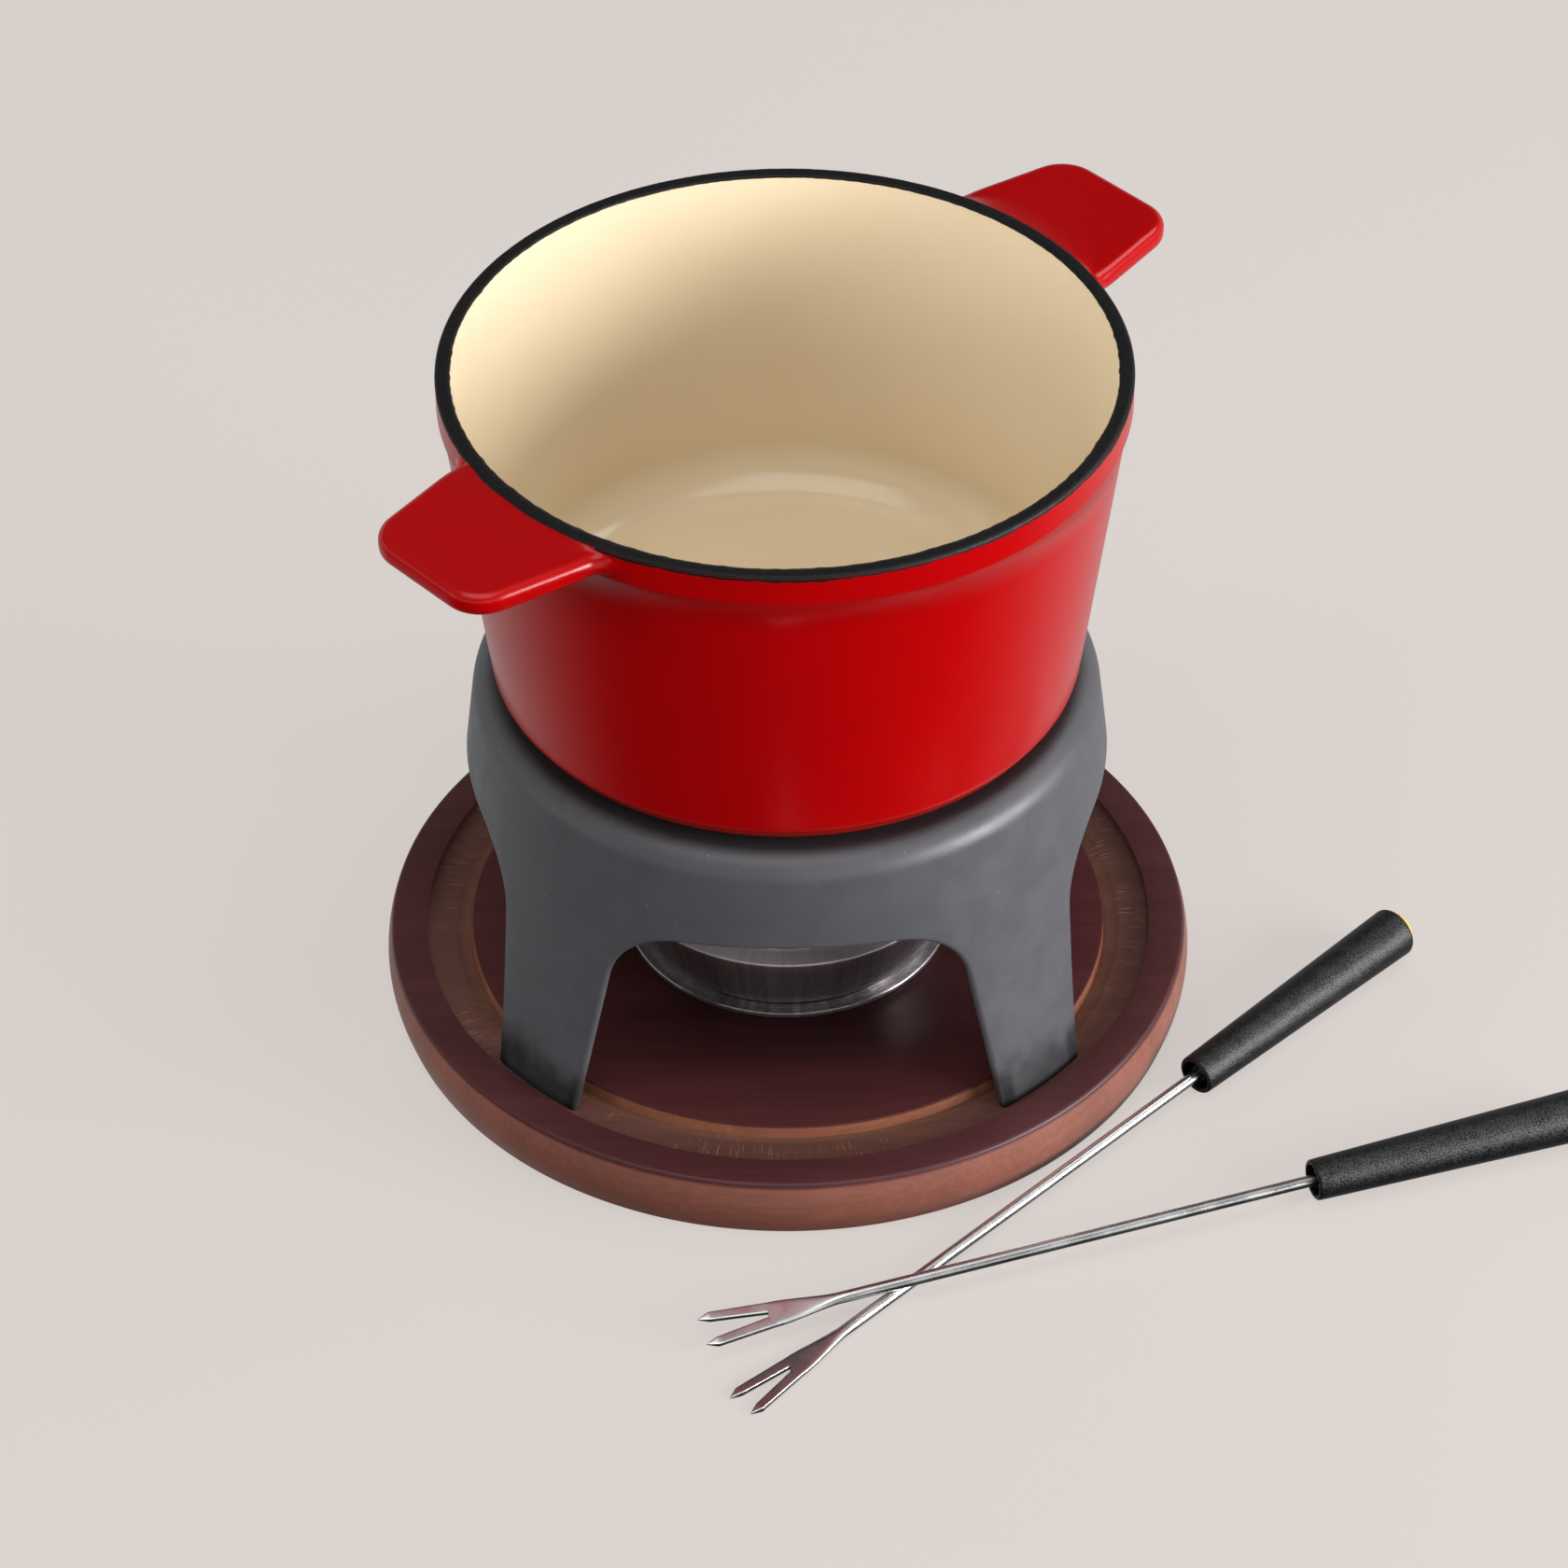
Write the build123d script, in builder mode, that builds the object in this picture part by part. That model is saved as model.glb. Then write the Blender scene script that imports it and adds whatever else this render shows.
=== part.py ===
"""Fondue pot set: enamelled cast-iron pot and four-legged stand on a turned wooden
base, with a spirit burner between the legs and two crossed fondue forks beside it.

Millimetres, +Z up. The origin is the centre of the base's underside, the front is -Y.
Everything round shares the Z axis; the forks lie on the table at the front right.
"""
import os
from math import asin, cos, degrees, radians, sin

from build123d import *

os.makedirs("parts", exist_ok=True)

# ---- driving dimensions: pot ------------------------------------------------------
POT_RIM_RADIUS = 90.0        # outside of the rim band
POT_TAPER = 12.0             # how much smaller the foot is than the rim
POT_HEIGHT = 98.0            # foot to rim
POT_WALL = 3.3
POT_FLOOR = 4.5
POT_FOOT_ROUNDING = 9.5      # outside corner between wall and bottom
POT_INSIDE_ROUNDING = 14.0   # inside corner between wall and floor
BAND_HEIGHT = 12.5           # plain upright band under the rim
BAND_STEP = 0.9              # how far the band stands proud of the tapered wall
LINING = 0.4                 # cream enamel, laid over the inside
RIM_COAT = 0.6               # matt black enamel, laid over the rim

# ---- driving dimensions: lug handles ---------------------------------------------
HANDLE_TURN = 42.5           # degrees from the X axis
HANDLE_REACH = 33.2          # beyond the rim
HANDLE_ROOT_HALF = 26.8
HANDLE_END_HALF = 20.4
HANDLE_THICKNESS = 6.6
HANDLE_BELOW_RIM = 1.6
HANDLE_CORNER = 11.0
HANDLE_ROOT_FILLET = 9.0
HANDLE_EDGE = 2.4

# ---- driving dimensions: stand ----------------------------------------------------
SEAT_HEIGHT = 89.0           # top of the base's middle to the pot's seat
STAND_WALL = 4.5
SEAT_THICKNESS = 4.5
SEAT_OVERHANG = 8.0          # the flat seat carries this much of the pot's flat bottom
SHOULDER_MARGIN = 5.7        # shoulder outside the pot's foot
SHOULDER_RADIUS = 8.0
STAND_WAIST_SPREAD = 5.8     # shoulder to half height
STAND_FOOT_SPREAD = 13.7     # shoulder to feet
ARCH_FOOT_HALF = 56.4        # half width of each arch where the legs end
ARCH_LEAN = 0.21             # sideways per unit of height
ARCH_CLEARANCE_TOP = 27.0    # metal left above each arch, up to the seat
ARCH_CROWN = 4.0             # rise in the middle of each arch
ARCH_CORNER = 22.0
LEG_TURN = 45.0              # the legs stand midway between the X and Y axes
STAND_EDGE = 1.3             # every edge of the arches is rounded by this much

# ---- driving dimensions: wooden base ---------------------------------------------
BASE_THICKNESS = 18.0
BASE_RIM_WIDTH = 9.7
BASE_SIDE_BULGE = 1.7
BASE_FOOT_TUCK = 0.5
BASE_EDGE_ROUND = 1.0
FOOT_PLAY = 2.7              # between the legs and the step that keeps them in
LANDING_DEPTH = 2.4          # flat ring that the legs stand on, below the top
LANDING_WIDTH = 8.0
GROOVE_DEPTH = 3.9           # deepest, against the raised middle
GROOVE_SLOPE_WIDTH = 4.5

# ---- driving dimensions: burner ---------------------------------------------------
BURNER_HEIGHT = 23.0         # base middle to the top of the cover plate
SHEET = 0.6                  # stainless sheet
SAUCER_RADIUS = 44.8
SAUCER_LIP = 1.8
CUP_FLOOR_RADIUS = 39.0
CUP_CORNER_RADIUS = 43.4
CUP_CORNER_HEIGHT = 4.4
CUP_TOP_RADIUS = 48.2
PLATE_OVERHANG = 0.6
PLATE_SHEET = 0.8
COLLAR_RADIUS = 24.0         # bore for the flame
GAUZE_SHEET = 0.8
GAUZE_BELOW_PLATE = 7.0
WADDING_PLAY = 0.4
REGULATOR_INNER_PLAY = 0.08  # running fit on the cover's collar
REGULATOR_RADIUS = 43.0
REGULATOR_GAP = 0.05
COLLAR_RISE = 1.6
VENTS = 12
VENT_INNER = 30.0
VENT_OUTER = 39.5
VENT_WIDTH = 3.2
ARM_LENGTH = 14.0
ARM_WIDTH = 5.0
KNOB_RADIUS = 4.8
KNOB_HEIGHT = 9.0
KNOB_HOLE_RADIUS = 1.6

# ---- driving dimensions: forks ----------------------------------------------------
FORK_LENGTH = 255.0
FORK_HANDLE_LENGTH = 84.0
HANDLE_FRONT_RADIUS = 5.6
HANDLE_REAR_RADIUS = 7.2
HANDLE_FACE_ROUND = 0.8
HANDLE_REAR_ROUND = 1.4
SHAFT_RADIUS = 1.6
TANG_LENGTH = 45.0
TANG_PLAY = 0.02
TINE_LENGTH = 18.5
TINE_WIDTH = 2.5
TINE_SPREAD = 10.2           # outside of the two tines at their tips
TINE_THICKNESS = 1.5
TINE_POINT = 3.2
HEAD_NECK_LENGTH = 21.0
HEAD_WAIST = 7.4
CAP_RADIUS = 5.2
CAP_THICKNESS = 1.8
CAP_ROUND = 1.2
CAP_STEM_RADIUS = 3.6
CAP_STEM_LENGTH = 7.0
FORK_1_TURN = 43.7           # degrees from the X axis
FORK_2_TURN = 18.4
FORK_1_FROM_BASE = 4.9       # shortest way from the base's side to the fork's line
FORK_2_FROM_BASE = 25.0
FORK_1_TIP = -129.3          # tips, measured along each fork's line
FORK_2_TIP = -69.6
FORK_2_ROLL = 14.0           # the upper fork's head leans towards the front
CROSSING_GAP = 0.3           # between the two shafts where they cross

# ---- heights and radii that follow ------------------------------------------------
SEAT_Z = BASE_THICKNESS + SEAT_HEIGHT
RIM_Z = SEAT_Z + POT_HEIGHT
FOOT_RADIUS = POT_RIM_RADIUS - POT_TAPER
FLAT_BOTTOM_RADIUS = FOOT_RADIUS - POT_FOOT_ROUNDING
MOUTH_RADIUS = FLAT_BOTTOM_RADIUS - SEAT_OVERHANG
SHOULDER_OUT = FOOT_RADIUS + SHOULDER_MARGIN
LEG_RADIUS = SHOULDER_OUT + STAND_FOOT_SPREAD
LANDING_Z = BASE_THICKNESS - LANDING_DEPTH
GROOVE_OUTER = LEG_RADIUS + FOOT_PLAY
LANDING_INNER = GROOVE_OUTER - LANDING_WIDTH
MIDDLE_RADIUS = LANDING_INNER - GROOVE_SLOPE_WIDTH
BASE_TOP_RADIUS = GROOVE_OUTER + BASE_RIM_WIDTH
BASE_RADIUS = BASE_TOP_RADIUS + BASE_SIDE_BULGE
BURNER_TOP_Z = BASE_THICKNESS + BURNER_HEIGHT
CUP_RIM_Z = BURNER_TOP_Z - PLATE_SHEET
GAUZE_Z = CUP_RIM_Z - GAUZE_BELOW_PLATE
HANDLE_TOP_Z = RIM_Z - HANDLE_BELOW_RIM


def inner_radius_at(height, skin):
    """Inside radius of the pot `height` above its foot, `skin` in from the iron."""
    return FOOT_RADIUS + POT_TAPER * height / POT_HEIGHT - POT_WALL - skin


def cavity(skin, top):
    """Solid that fills the pot's inside, `skin` in from the iron, up to height `top`."""
    floor = SEAT_Z + POT_FLOOR + skin
    with BuildPart(mode=Mode.PRIVATE) as hollow:
        with BuildSketch(Plane.XZ):
            with BuildLine():
                Polyline(
                    (0, floor),
                    (inner_radius_at(floor - SEAT_Z, skin), floor),
                    (inner_radius_at(top - SEAT_Z, skin), top),
                    (0, top),
                    close=True,
                )
            make_face()
        revolve(axis=Axis.Z)
        floor_edge = hollow.edges().filter_by(GeomType.CIRCLE).sort_by(Axis.Z)[0]
        fillet(floor_edge, POT_INSIDE_ROUNDING - skin)
    return hollow.part


# ==== wooden base ===================================================================
with BuildPart() as wooden_base:
    with BuildSketch(Plane.XZ):
        with BuildLine():
            Polyline(
                (BASE_TOP_RADIUS, BASE_THICKNESS),
                (GROOVE_OUTER, BASE_THICKNESS),
                (GROOVE_OUTER, LANDING_Z),
                (LANDING_INNER, LANDING_Z),
                (MIDDLE_RADIUS, BASE_THICKNESS - GROOVE_DEPTH),
                (MIDDLE_RADIUS, BASE_THICKNESS),
                (0, BASE_THICKNESS),
                (0, 0),
                (BASE_TOP_RADIUS - BASE_FOOT_TUCK, 0),
            )
            ThreePointArc(
                (BASE_TOP_RADIUS - BASE_FOOT_TUCK, 0),
                (BASE_RADIUS, BASE_THICKNESS / 2),
                (BASE_TOP_RADIUS, BASE_THICKNESS),
            )
        make_face()
    revolve(axis=Axis.Z)
    outer_edges = wooden_base.edges().filter_by(GeomType.CIRCLE).sort_by(SortBy.RADIUS)
    fillet(outer_edges.filter_by(lambda edge: edge.radius > GROOVE_OUTER + 1.0), BASE_EDGE_ROUND)
wooden_base.part.label = "wooden_base"
export_step(wooden_base.part, "parts/wooden_base.step")

# ==== stand =========================================================================
ARCH_SPRING_Z = SEAT_Z - ARCH_CLEARANCE_TOP - ARCH_CROWN
ARCH_TOP_HALF = ARCH_FOOT_HALF - ARCH_LEAN * (ARCH_SPRING_Z - LANDING_Z)
HALF_HEIGHT_Z = (LANDING_Z + SEAT_Z) / 2
with BuildPart() as stand:
    with BuildSketch(Plane.XZ.rotated((0, 0, LEG_TURN))):
        with BuildLine():
            ThreePointArc(
                (LEG_RADIUS, LANDING_Z),
                (SHOULDER_OUT + STAND_WAIST_SPREAD, HALF_HEIGHT_Z),
                (SHOULDER_OUT, SEAT_Z),
            )
            Polyline(
                (SHOULDER_OUT, SEAT_Z),
                (MOUTH_RADIUS, SEAT_Z),
                (MOUTH_RADIUS, SEAT_Z - SEAT_THICKNESS),
                (SHOULDER_OUT - STAND_WALL, SEAT_Z - SEAT_THICKNESS),
            )
            ThreePointArc(
                (SHOULDER_OUT - STAND_WALL, SEAT_Z - SEAT_THICKNESS),
                (SHOULDER_OUT + STAND_WAIST_SPREAD - STAND_WALL, HALF_HEIGHT_Z),
                (LEG_RADIUS - STAND_WALL, LANDING_Z),
            )
            Line((LEG_RADIUS - STAND_WALL, LANDING_Z), (LEG_RADIUS, LANDING_Z))
        make_face()
    revolve(axis=Axis.Z)
    shoulder = stand.edges().filter_by(GeomType.CIRCLE).group_by(Axis.Z)[-1].sort_by(SortBy.RADIUS)[-1]
    fillet(shoulder, SHOULDER_RADIUS)
    for side_plane in (Plane.XZ, Plane.YZ):
        with BuildSketch(side_plane) as arch:
            with BuildLine():
                Polyline(
                    (ARCH_TOP_HALF, ARCH_SPRING_Z),
                    (ARCH_FOOT_HALF, LANDING_Z),
                    (ARCH_FOOT_HALF, 0),
                    (-ARCH_FOOT_HALF, 0),
                    (-ARCH_FOOT_HALF, LANDING_Z),
                    (-ARCH_TOP_HALF, ARCH_SPRING_Z),
                )
                ThreePointArc(
                    (-ARCH_TOP_HALF, ARCH_SPRING_Z),
                    (0, ARCH_SPRING_Z + ARCH_CROWN),
                    (ARCH_TOP_HALF, ARCH_SPRING_Z),
                )
            make_face()
            fillet(arch.vertices().group_by(Axis.Y)[-1], ARCH_CORNER)
        extrude(amount=2 * LEG_RADIUS, both=True, mode=Mode.SUBTRACT)
    arch_top = ARCH_SPRING_Z + ARCH_CROWN + STAND_EDGE
    arch_edges = stand.edges().filter_by(GeomType.BSPLINE)
    arch_edges = arch_edges.filter_by(lambda edge: edge.center().Z < arch_top)
    fillet(arch_edges, STAND_EDGE)
stand.part.label = "stand"
export_step(stand.part, "parts/stand.step")

# ==== pot: casting with its two lugs, cream lining and black rim ====================
BAND_Z = RIM_Z - BAND_HEIGHT
HANDLE_BOTTOM_Z = HANDLE_TOP_Z - HANDLE_THICKNESS
HANDLE_END = POT_RIM_RADIUS + HANDLE_REACH
LUG_SPLAY = (HANDLE_ROOT_HALF - HANDLE_END_HALF) / HANDLE_REACH
LUG_CENTRE_HALF = HANDLE_ROOT_HALF + LUG_SPLAY * POT_RIM_RADIUS
with BuildPart() as lugs:
    with BuildSketch(Plane.XY.offset(HANDLE_BOTTOM_Z)):
        Circle(POT_RIM_RADIUS - BAND_STEP)
        for side in (1, -1):
            with BuildLine():
                Polyline(
                    (0, LUG_CENTRE_HALF),
                    (side * HANDLE_END, HANDLE_END_HALF),
                    (side * HANDLE_END, -HANDLE_END_HALF),
                    (0, -LUG_CENTRE_HALF),
                    close=True,
                )
            make_face()
    extrude(amount=HANDLE_THICKNESS)
    corners = lugs.edges().filter_by(Axis.Z)
    fillet(corners.filter_by(lambda edge: abs(edge.center().X) > HANDLE_END - 1.0), HANDLE_CORNER)
    roots = lugs.edges().filter_by(Axis.Z)
    fillet(roots.filter_by(lambda edge: abs(edge.center().X) < POT_RIM_RADIUS), HANDLE_ROOT_FILLET)
    fillet(lugs.faces().filter_by(Plane.XY).edges(), HANDLE_EDGE)

full_cavity = cavity(0.0, RIM_Z + POT_WALL)
with BuildPart() as pot_body:
    with BuildSketch(Plane.XZ):
        with BuildLine():
            Polyline(
                (0, SEAT_Z),
                (FOOT_RADIUS, SEAT_Z),
                (POT_RIM_RADIUS - BAND_STEP, BAND_Z - BAND_STEP),
                (POT_RIM_RADIUS, BAND_Z),
                (POT_RIM_RADIUS, RIM_Z - RIM_COAT),
                (0, RIM_Z - RIM_COAT),
                close=True,
            )
        make_face()
    revolve(axis=Axis.Z)
    fillet(pot_body.edges().filter_by(GeomType.CIRCLE).sort_by(Axis.Z)[0], POT_FOOT_ROUNDING)
    add(lugs.part, rotation=(0, 0, HANDLE_TURN))
    add(full_cavity, mode=Mode.SUBTRACT)
pot_body.part.label = "pot_body"
export_step(pot_body.part, "parts/pot_body.step")

coated_cavity = cavity(0.0, RIM_Z - RIM_COAT)
lined_cavity = cavity(LINING, RIM_Z + POT_WALL)
with BuildPart() as pot_lining:
    add(coated_cavity)
    add(lined_cavity, mode=Mode.SUBTRACT)
pot_lining.part.label = "pot_lining"
export_step(pot_lining.part, "parts/pot_lining.step")

with BuildPart() as pot_rim:
    with BuildSketch(Plane.XY.offset(RIM_Z - RIM_COAT)):
        Circle(POT_RIM_RADIUS)
        Circle(inner_radius_at(POT_HEIGHT, LINING), mode=Mode.SUBTRACT)
    extrude(amount=RIM_COAT)
    fillet(pot_rim.edges().group_by(Axis.Z)[-1], RIM_COAT * 0.8)
pot_rim.part.label = "pot_rim"
export_step(pot_rim.part, "parts/pot_rim.step")

# ==== burner ========================================================================
SAUCER_TOP_Z = BASE_THICKNESS + SHEET
with BuildPart() as burner_saucer:
    with BuildSketch(Plane.XY.offset(BASE_THICKNESS)):
        Circle(SAUCER_RADIUS)
    extrude(amount=SAUCER_LIP)
    with BuildSketch(Plane.XY.offset(SAUCER_TOP_Z)):
        Circle(SAUCER_RADIUS - SHEET)
    extrude(amount=SAUCER_LIP, mode=Mode.SUBTRACT)
burner_saucer.part.label = "burner_saucer"
export_step(burner_saucer.part, "parts/burner_saucer.step")


def cup_solid(skin):
    """The cup's outline turned solid, `skin` in from its outside, open at the rim."""
    with BuildPart(mode=Mode.PRIVATE) as turned:
        with BuildSketch(Plane.XZ):
            with BuildLine():
                Polyline(
                    (0, SAUCER_TOP_Z + skin),
                    (CUP_FLOOR_RADIUS - skin / 2, SAUCER_TOP_Z + skin),
                    (CUP_CORNER_RADIUS - skin, SAUCER_TOP_Z + CUP_CORNER_HEIGHT + skin / 2),
                    (CUP_TOP_RADIUS - skin, CUP_RIM_Z),
                    (0, CUP_RIM_Z),
                    close=True,
                )
            make_face()
        revolve(axis=Axis.Z)
    return turned.part


cup_outside = cup_solid(0.0)
cup_inside = cup_solid(SHEET)
with BuildPart() as burner_cup:
    add(cup_outside)
    add(cup_inside, mode=Mode.SUBTRACT)
burner_cup.part.label = "burner_cup"
export_step(burner_cup.part, "parts/burner_cup.step")

WADDING_RADIUS = CUP_FLOOR_RADIUS - SHEET - WADDING_PLAY
with BuildPart() as burner_wadding:
    with BuildSketch(Plane.XY.offset(SAUCER_TOP_Z + SHEET)):
        Circle(WADDING_RADIUS)
    extrude(amount=GAUZE_Z - SAUCER_TOP_Z - SHEET)
burner_wadding.part.label = "burner_wadding"
export_step(burner_wadding.part, "parts/burner_wadding.step")

COLLAR_OUTER = COLLAR_RADIUS + PLATE_SHEET
with BuildPart() as burner_gauze:
    with BuildSketch(Plane.XY.offset(GAUZE_Z)):
        Circle(WADDING_RADIUS)
    extrude(amount=GAUZE_SHEET)
burner_gauze.part.label = "burner_gauze"
export_step(burner_gauze.part, "parts/burner_gauze.step")


def vents(height, depth, half_pitch):
    """Ring of radial slots cut `depth` down from `height`, turned by half a pitch or not."""
    middle = (VENT_INNER + VENT_OUTER) / 2
    turn = half_pitch * 180.0 / VENTS
    with BuildPart(mode=Mode.PRIVATE) as cuts:
        with BuildSketch(Plane.XY.offset(height - depth)):
            with PolarLocations(middle, VENTS, start_angle=turn):
                SlotOverall(VENT_OUTER - VENT_INNER, VENT_WIDTH)
        extrude(amount=depth)
    return cuts.part


cover_vents = vents(BURNER_TOP_Z, PLATE_SHEET, 0)
with BuildPart() as burner_cover:
    with BuildSketch(Plane.XY.offset(CUP_RIM_Z)):
        Circle(CUP_TOP_RADIUS + PLATE_OVERHANG)
    extrude(amount=PLATE_SHEET)
    with BuildSketch(Plane.XY.offset(GAUZE_Z + GAUZE_SHEET)):
        Circle(COLLAR_OUTER)
    extrude(amount=BURNER_TOP_Z + COLLAR_RISE - GAUZE_Z - GAUZE_SHEET)
    with BuildSketch(Plane.XY.offset(GAUZE_Z + GAUZE_SHEET)):
        Circle(COLLAR_RADIUS)
    extrude(amount=BURNER_TOP_Z + COLLAR_RISE - GAUZE_Z, mode=Mode.SUBTRACT)
    add(cover_vents, mode=Mode.SUBTRACT)
burner_cover.part.label = "burner_cover"
export_step(burner_cover.part, "parts/burner_cover.step")

REGULATOR_Z = BURNER_TOP_Z + REGULATOR_GAP
REGULATOR_TOP_Z = REGULATOR_Z + PLATE_SHEET
KNOB_AT = CUP_TOP_RADIUS + PLATE_OVERHANG + ARM_LENGTH - KNOB_RADIUS
regulator_vents = vents(REGULATOR_TOP_Z, PLATE_SHEET, 1)
with BuildPart() as burner_regulator:
    with BuildSketch(Plane.XY.offset(REGULATOR_Z)):
        Circle(REGULATOR_RADIUS)
        SlotCenterPoint((KNOB_AT / 2, 0), (KNOB_AT, 0), ARM_WIDTH)
        Circle(COLLAR_OUTER + REGULATOR_INNER_PLAY, mode=Mode.SUBTRACT)
    extrude(amount=PLATE_SHEET)
    add(regulator_vents, mode=Mode.SUBTRACT)
    with BuildSketch(Plane.XY.offset(REGULATOR_TOP_Z)):
        with Locations((KNOB_AT, 0)):
            Circle(KNOB_HOLE_RADIUS)
    extrude(amount=KNOB_HEIGHT / 2)
burner_regulator.part.label = "burner_regulator"
export_step(burner_regulator.part, "parts/burner_regulator.step")

with BuildPart() as burner_knob:
    with BuildSketch(Plane.XY.offset(REGULATOR_TOP_Z)):
        with Locations((KNOB_AT, 0)):
            Circle(KNOB_RADIUS)
    extrude(amount=KNOB_HEIGHT)
    fillet(burner_knob.edges().group_by(Axis.Z)[-1], KNOB_RADIUS / 3)
    with BuildSketch(Plane.XY.offset(REGULATOR_TOP_Z)):
        with Locations((KNOB_AT, 0)):
            Circle(KNOB_HOLE_RADIUS)
    extrude(amount=KNOB_HEIGHT / 2, mode=Mode.SUBTRACT)
burner_knob.part.label = "burner_knob"
export_step(burner_knob.part, "parts/burner_knob.step")

# ==== forks =========================================================================
HANDLE_START = FORK_LENGTH - FORK_HANDLE_LENGTH
TIP_Z = TINE_THICKNESS / 2
FORK_1_LINE = BASE_RADIUS + FORK_1_FROM_BASE
FORK_2_LINE = BASE_RADIUS + FORK_2_FROM_BASE
FORK_1_RISE = degrees(asin((HANDLE_FRONT_RADIUS - TIP_Z) / HANDLE_START))
BETWEEN = radians(FORK_1_TURN - FORK_2_TURN)
CROSS_1 = (FORK_1_LINE * cos(BETWEEN) - FORK_2_LINE) / sin(BETWEEN) - FORK_1_TIP
CROSS_2 = (FORK_1_LINE - FORK_2_LINE * cos(BETWEEN)) / sin(BETWEEN) - FORK_2_TIP
CROSS_Z = TIP_Z + CROSS_1 * sin(radians(FORK_1_RISE)) + 2 * SHAFT_RADIUS + CROSSING_GAP
FORK_2_RISE = degrees(asin((HANDLE_REAR_RADIUS - CROSS_Z) / (FORK_LENGTH - CROSS_2)))
FORK_2_TIP_Z = CROSS_Z - CROSS_2 * sin(radians(FORK_2_RISE))


def fork_plane(turn, line, tip, tip_z, rise, roll=0.0):
    """Plane at a fork's tips: local X runs back along the fork, local Z is up unless rolled."""
    heading = radians(turn)
    slope = radians(rise)
    at = (
        line * sin(heading) + tip * cos(heading),
        tip * sin(heading) - line * cos(heading),
        tip_z,
    )
    back = (cos(heading) * cos(slope), sin(heading) * cos(slope), sin(slope))
    up = Vector(-cos(heading) * sin(slope), -sin(heading) * sin(slope), cos(slope))
    front = Vector(sin(heading), -cos(heading), 0)
    face = up * cos(radians(roll)) + front * sin(radians(roll))
    return Plane(origin=at, x_dir=back, z_dir=face)


def across(plane, distance):
    """Plane square to a fork, `distance` back from its tips, facing the rear."""
    return Plane(origin=plane.from_local_coords((distance, 0, 0)), z_dir=plane.x_dir)


def make_fork(name, plane):
    """Write one fork: steel prongs with their shaft, moulded handle and coloured cap."""
    neck_end = TINE_LENGTH + HEAD_NECK_LENGTH
    tip_out = TINE_SPREAD / 2
    gap_half = tip_out - TINE_WIDTH
    with BuildPart() as prongs:
        with BuildSketch(plane.offset(-TINE_THICKNESS / 2)):
            for side in (1, -1):
                with BuildLine():
                    Polyline(
                        (TINE_LENGTH, 0),
                        (TINE_LENGTH, side * HEAD_WAIST / 2),
                        (TINE_POINT, side * tip_out),
                        (0, side * (tip_out - TINE_WIDTH / 2)),
                        (TINE_POINT, side * gap_half),
                        close=True,
                    )
                make_face()
            with BuildLine():
                Polyline(
                    (TINE_LENGTH, HEAD_WAIST / 2),
                    (neck_end, SHAFT_RADIUS),
                    (neck_end, -SHAFT_RADIUS),
                    (TINE_LENGTH, -HEAD_WAIST / 2),
                    close=True,
                )
            make_face()
        extrude(amount=TINE_THICKNESS)
        with BuildSketch(across(plane, neck_end - HEAD_NECK_LENGTH / 2)):
            Rectangle(TINE_THICKNESS, TINE_THICKNESS)
        with BuildSketch(across(plane, neck_end)):
            Circle(SHAFT_RADIUS)
        loft()
        with BuildSketch(across(plane, neck_end)):
            Circle(SHAFT_RADIUS)
        extrude(amount=HANDLE_START + TANG_LENGTH - neck_end)
    prongs.part.label = name + "_prongs"
    export_step(prongs.part, "parts/" + prongs.part.label + ".step")

    with BuildPart() as handle:
        with BuildSketch(across(plane, HANDLE_START)):
            Circle(HANDLE_FRONT_RADIUS)
        with BuildSketch(across(plane, FORK_LENGTH - CAP_THICKNESS)):
            Circle(HANDLE_REAR_RADIUS)
        loft()
        rims = handle.edges().filter_by(GeomType.CIRCLE)
        by_distance = rims.sort_by_distance(plane.from_local_coords((HANDLE_START, 0, 0)))
        fillet(by_distance[0], HANDLE_FACE_ROUND)
        fillet(by_distance[-1], HANDLE_REAR_ROUND)
        with BuildSketch(across(plane, HANDLE_START)):
            Circle(SHAFT_RADIUS + TANG_PLAY)
        extrude(amount=TANG_LENGTH, mode=Mode.SUBTRACT)
        with BuildSketch(across(plane, FORK_LENGTH - CAP_THICKNESS - CAP_STEM_LENGTH)):
            Circle(CAP_STEM_RADIUS)
        extrude(amount=CAP_STEM_LENGTH, mode=Mode.SUBTRACT)
    handle.part.label = name + "_handle"
    export_step(handle.part, "parts/" + handle.part.label + ".step")

    with BuildPart() as cap:
        with BuildSketch(across(plane, FORK_LENGTH - CAP_THICKNESS)):
            Circle(CAP_RADIUS)
        extrude(amount=CAP_THICKNESS)
        rims = cap.edges().filter_by(GeomType.CIRCLE)
        fillet(rims.sort_by_distance(plane.from_local_coords((FORK_LENGTH, 0, 0)))[0], CAP_ROUND)
        with BuildSketch(across(plane, FORK_LENGTH - CAP_THICKNESS - CAP_STEM_LENGTH)):
            Circle(CAP_STEM_RADIUS)
        extrude(amount=CAP_STEM_LENGTH)
    cap.part.label = name + "_cap"
    export_step(cap.part, "parts/" + cap.part.label + ".step")


upper_plane = fork_plane(
    FORK_2_TURN, FORK_2_LINE, FORK_2_TIP, FORK_2_TIP_Z, FORK_2_RISE, FORK_2_ROLL
)
make_fork("fork_1", fork_plane(FORK_1_TURN, FORK_1_LINE, FORK_1_TIP, TIP_Z, FORK_1_RISE))
make_fork("fork_2", upper_plane)
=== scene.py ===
"""Fondue pot set: red enamelled pot, grey stand, turned wooden base, burner and two forks.

Sizes in the dataclasses are millimetres; meshes are written in metres, in the CAD frame:
+Z up through the pot, origin under the middle of the base, front towards -Y.
"""
from __future__ import annotations

import logging
import math
from dataclasses import dataclass, field
from enum import Enum
from typing import Sequence, Union

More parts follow.
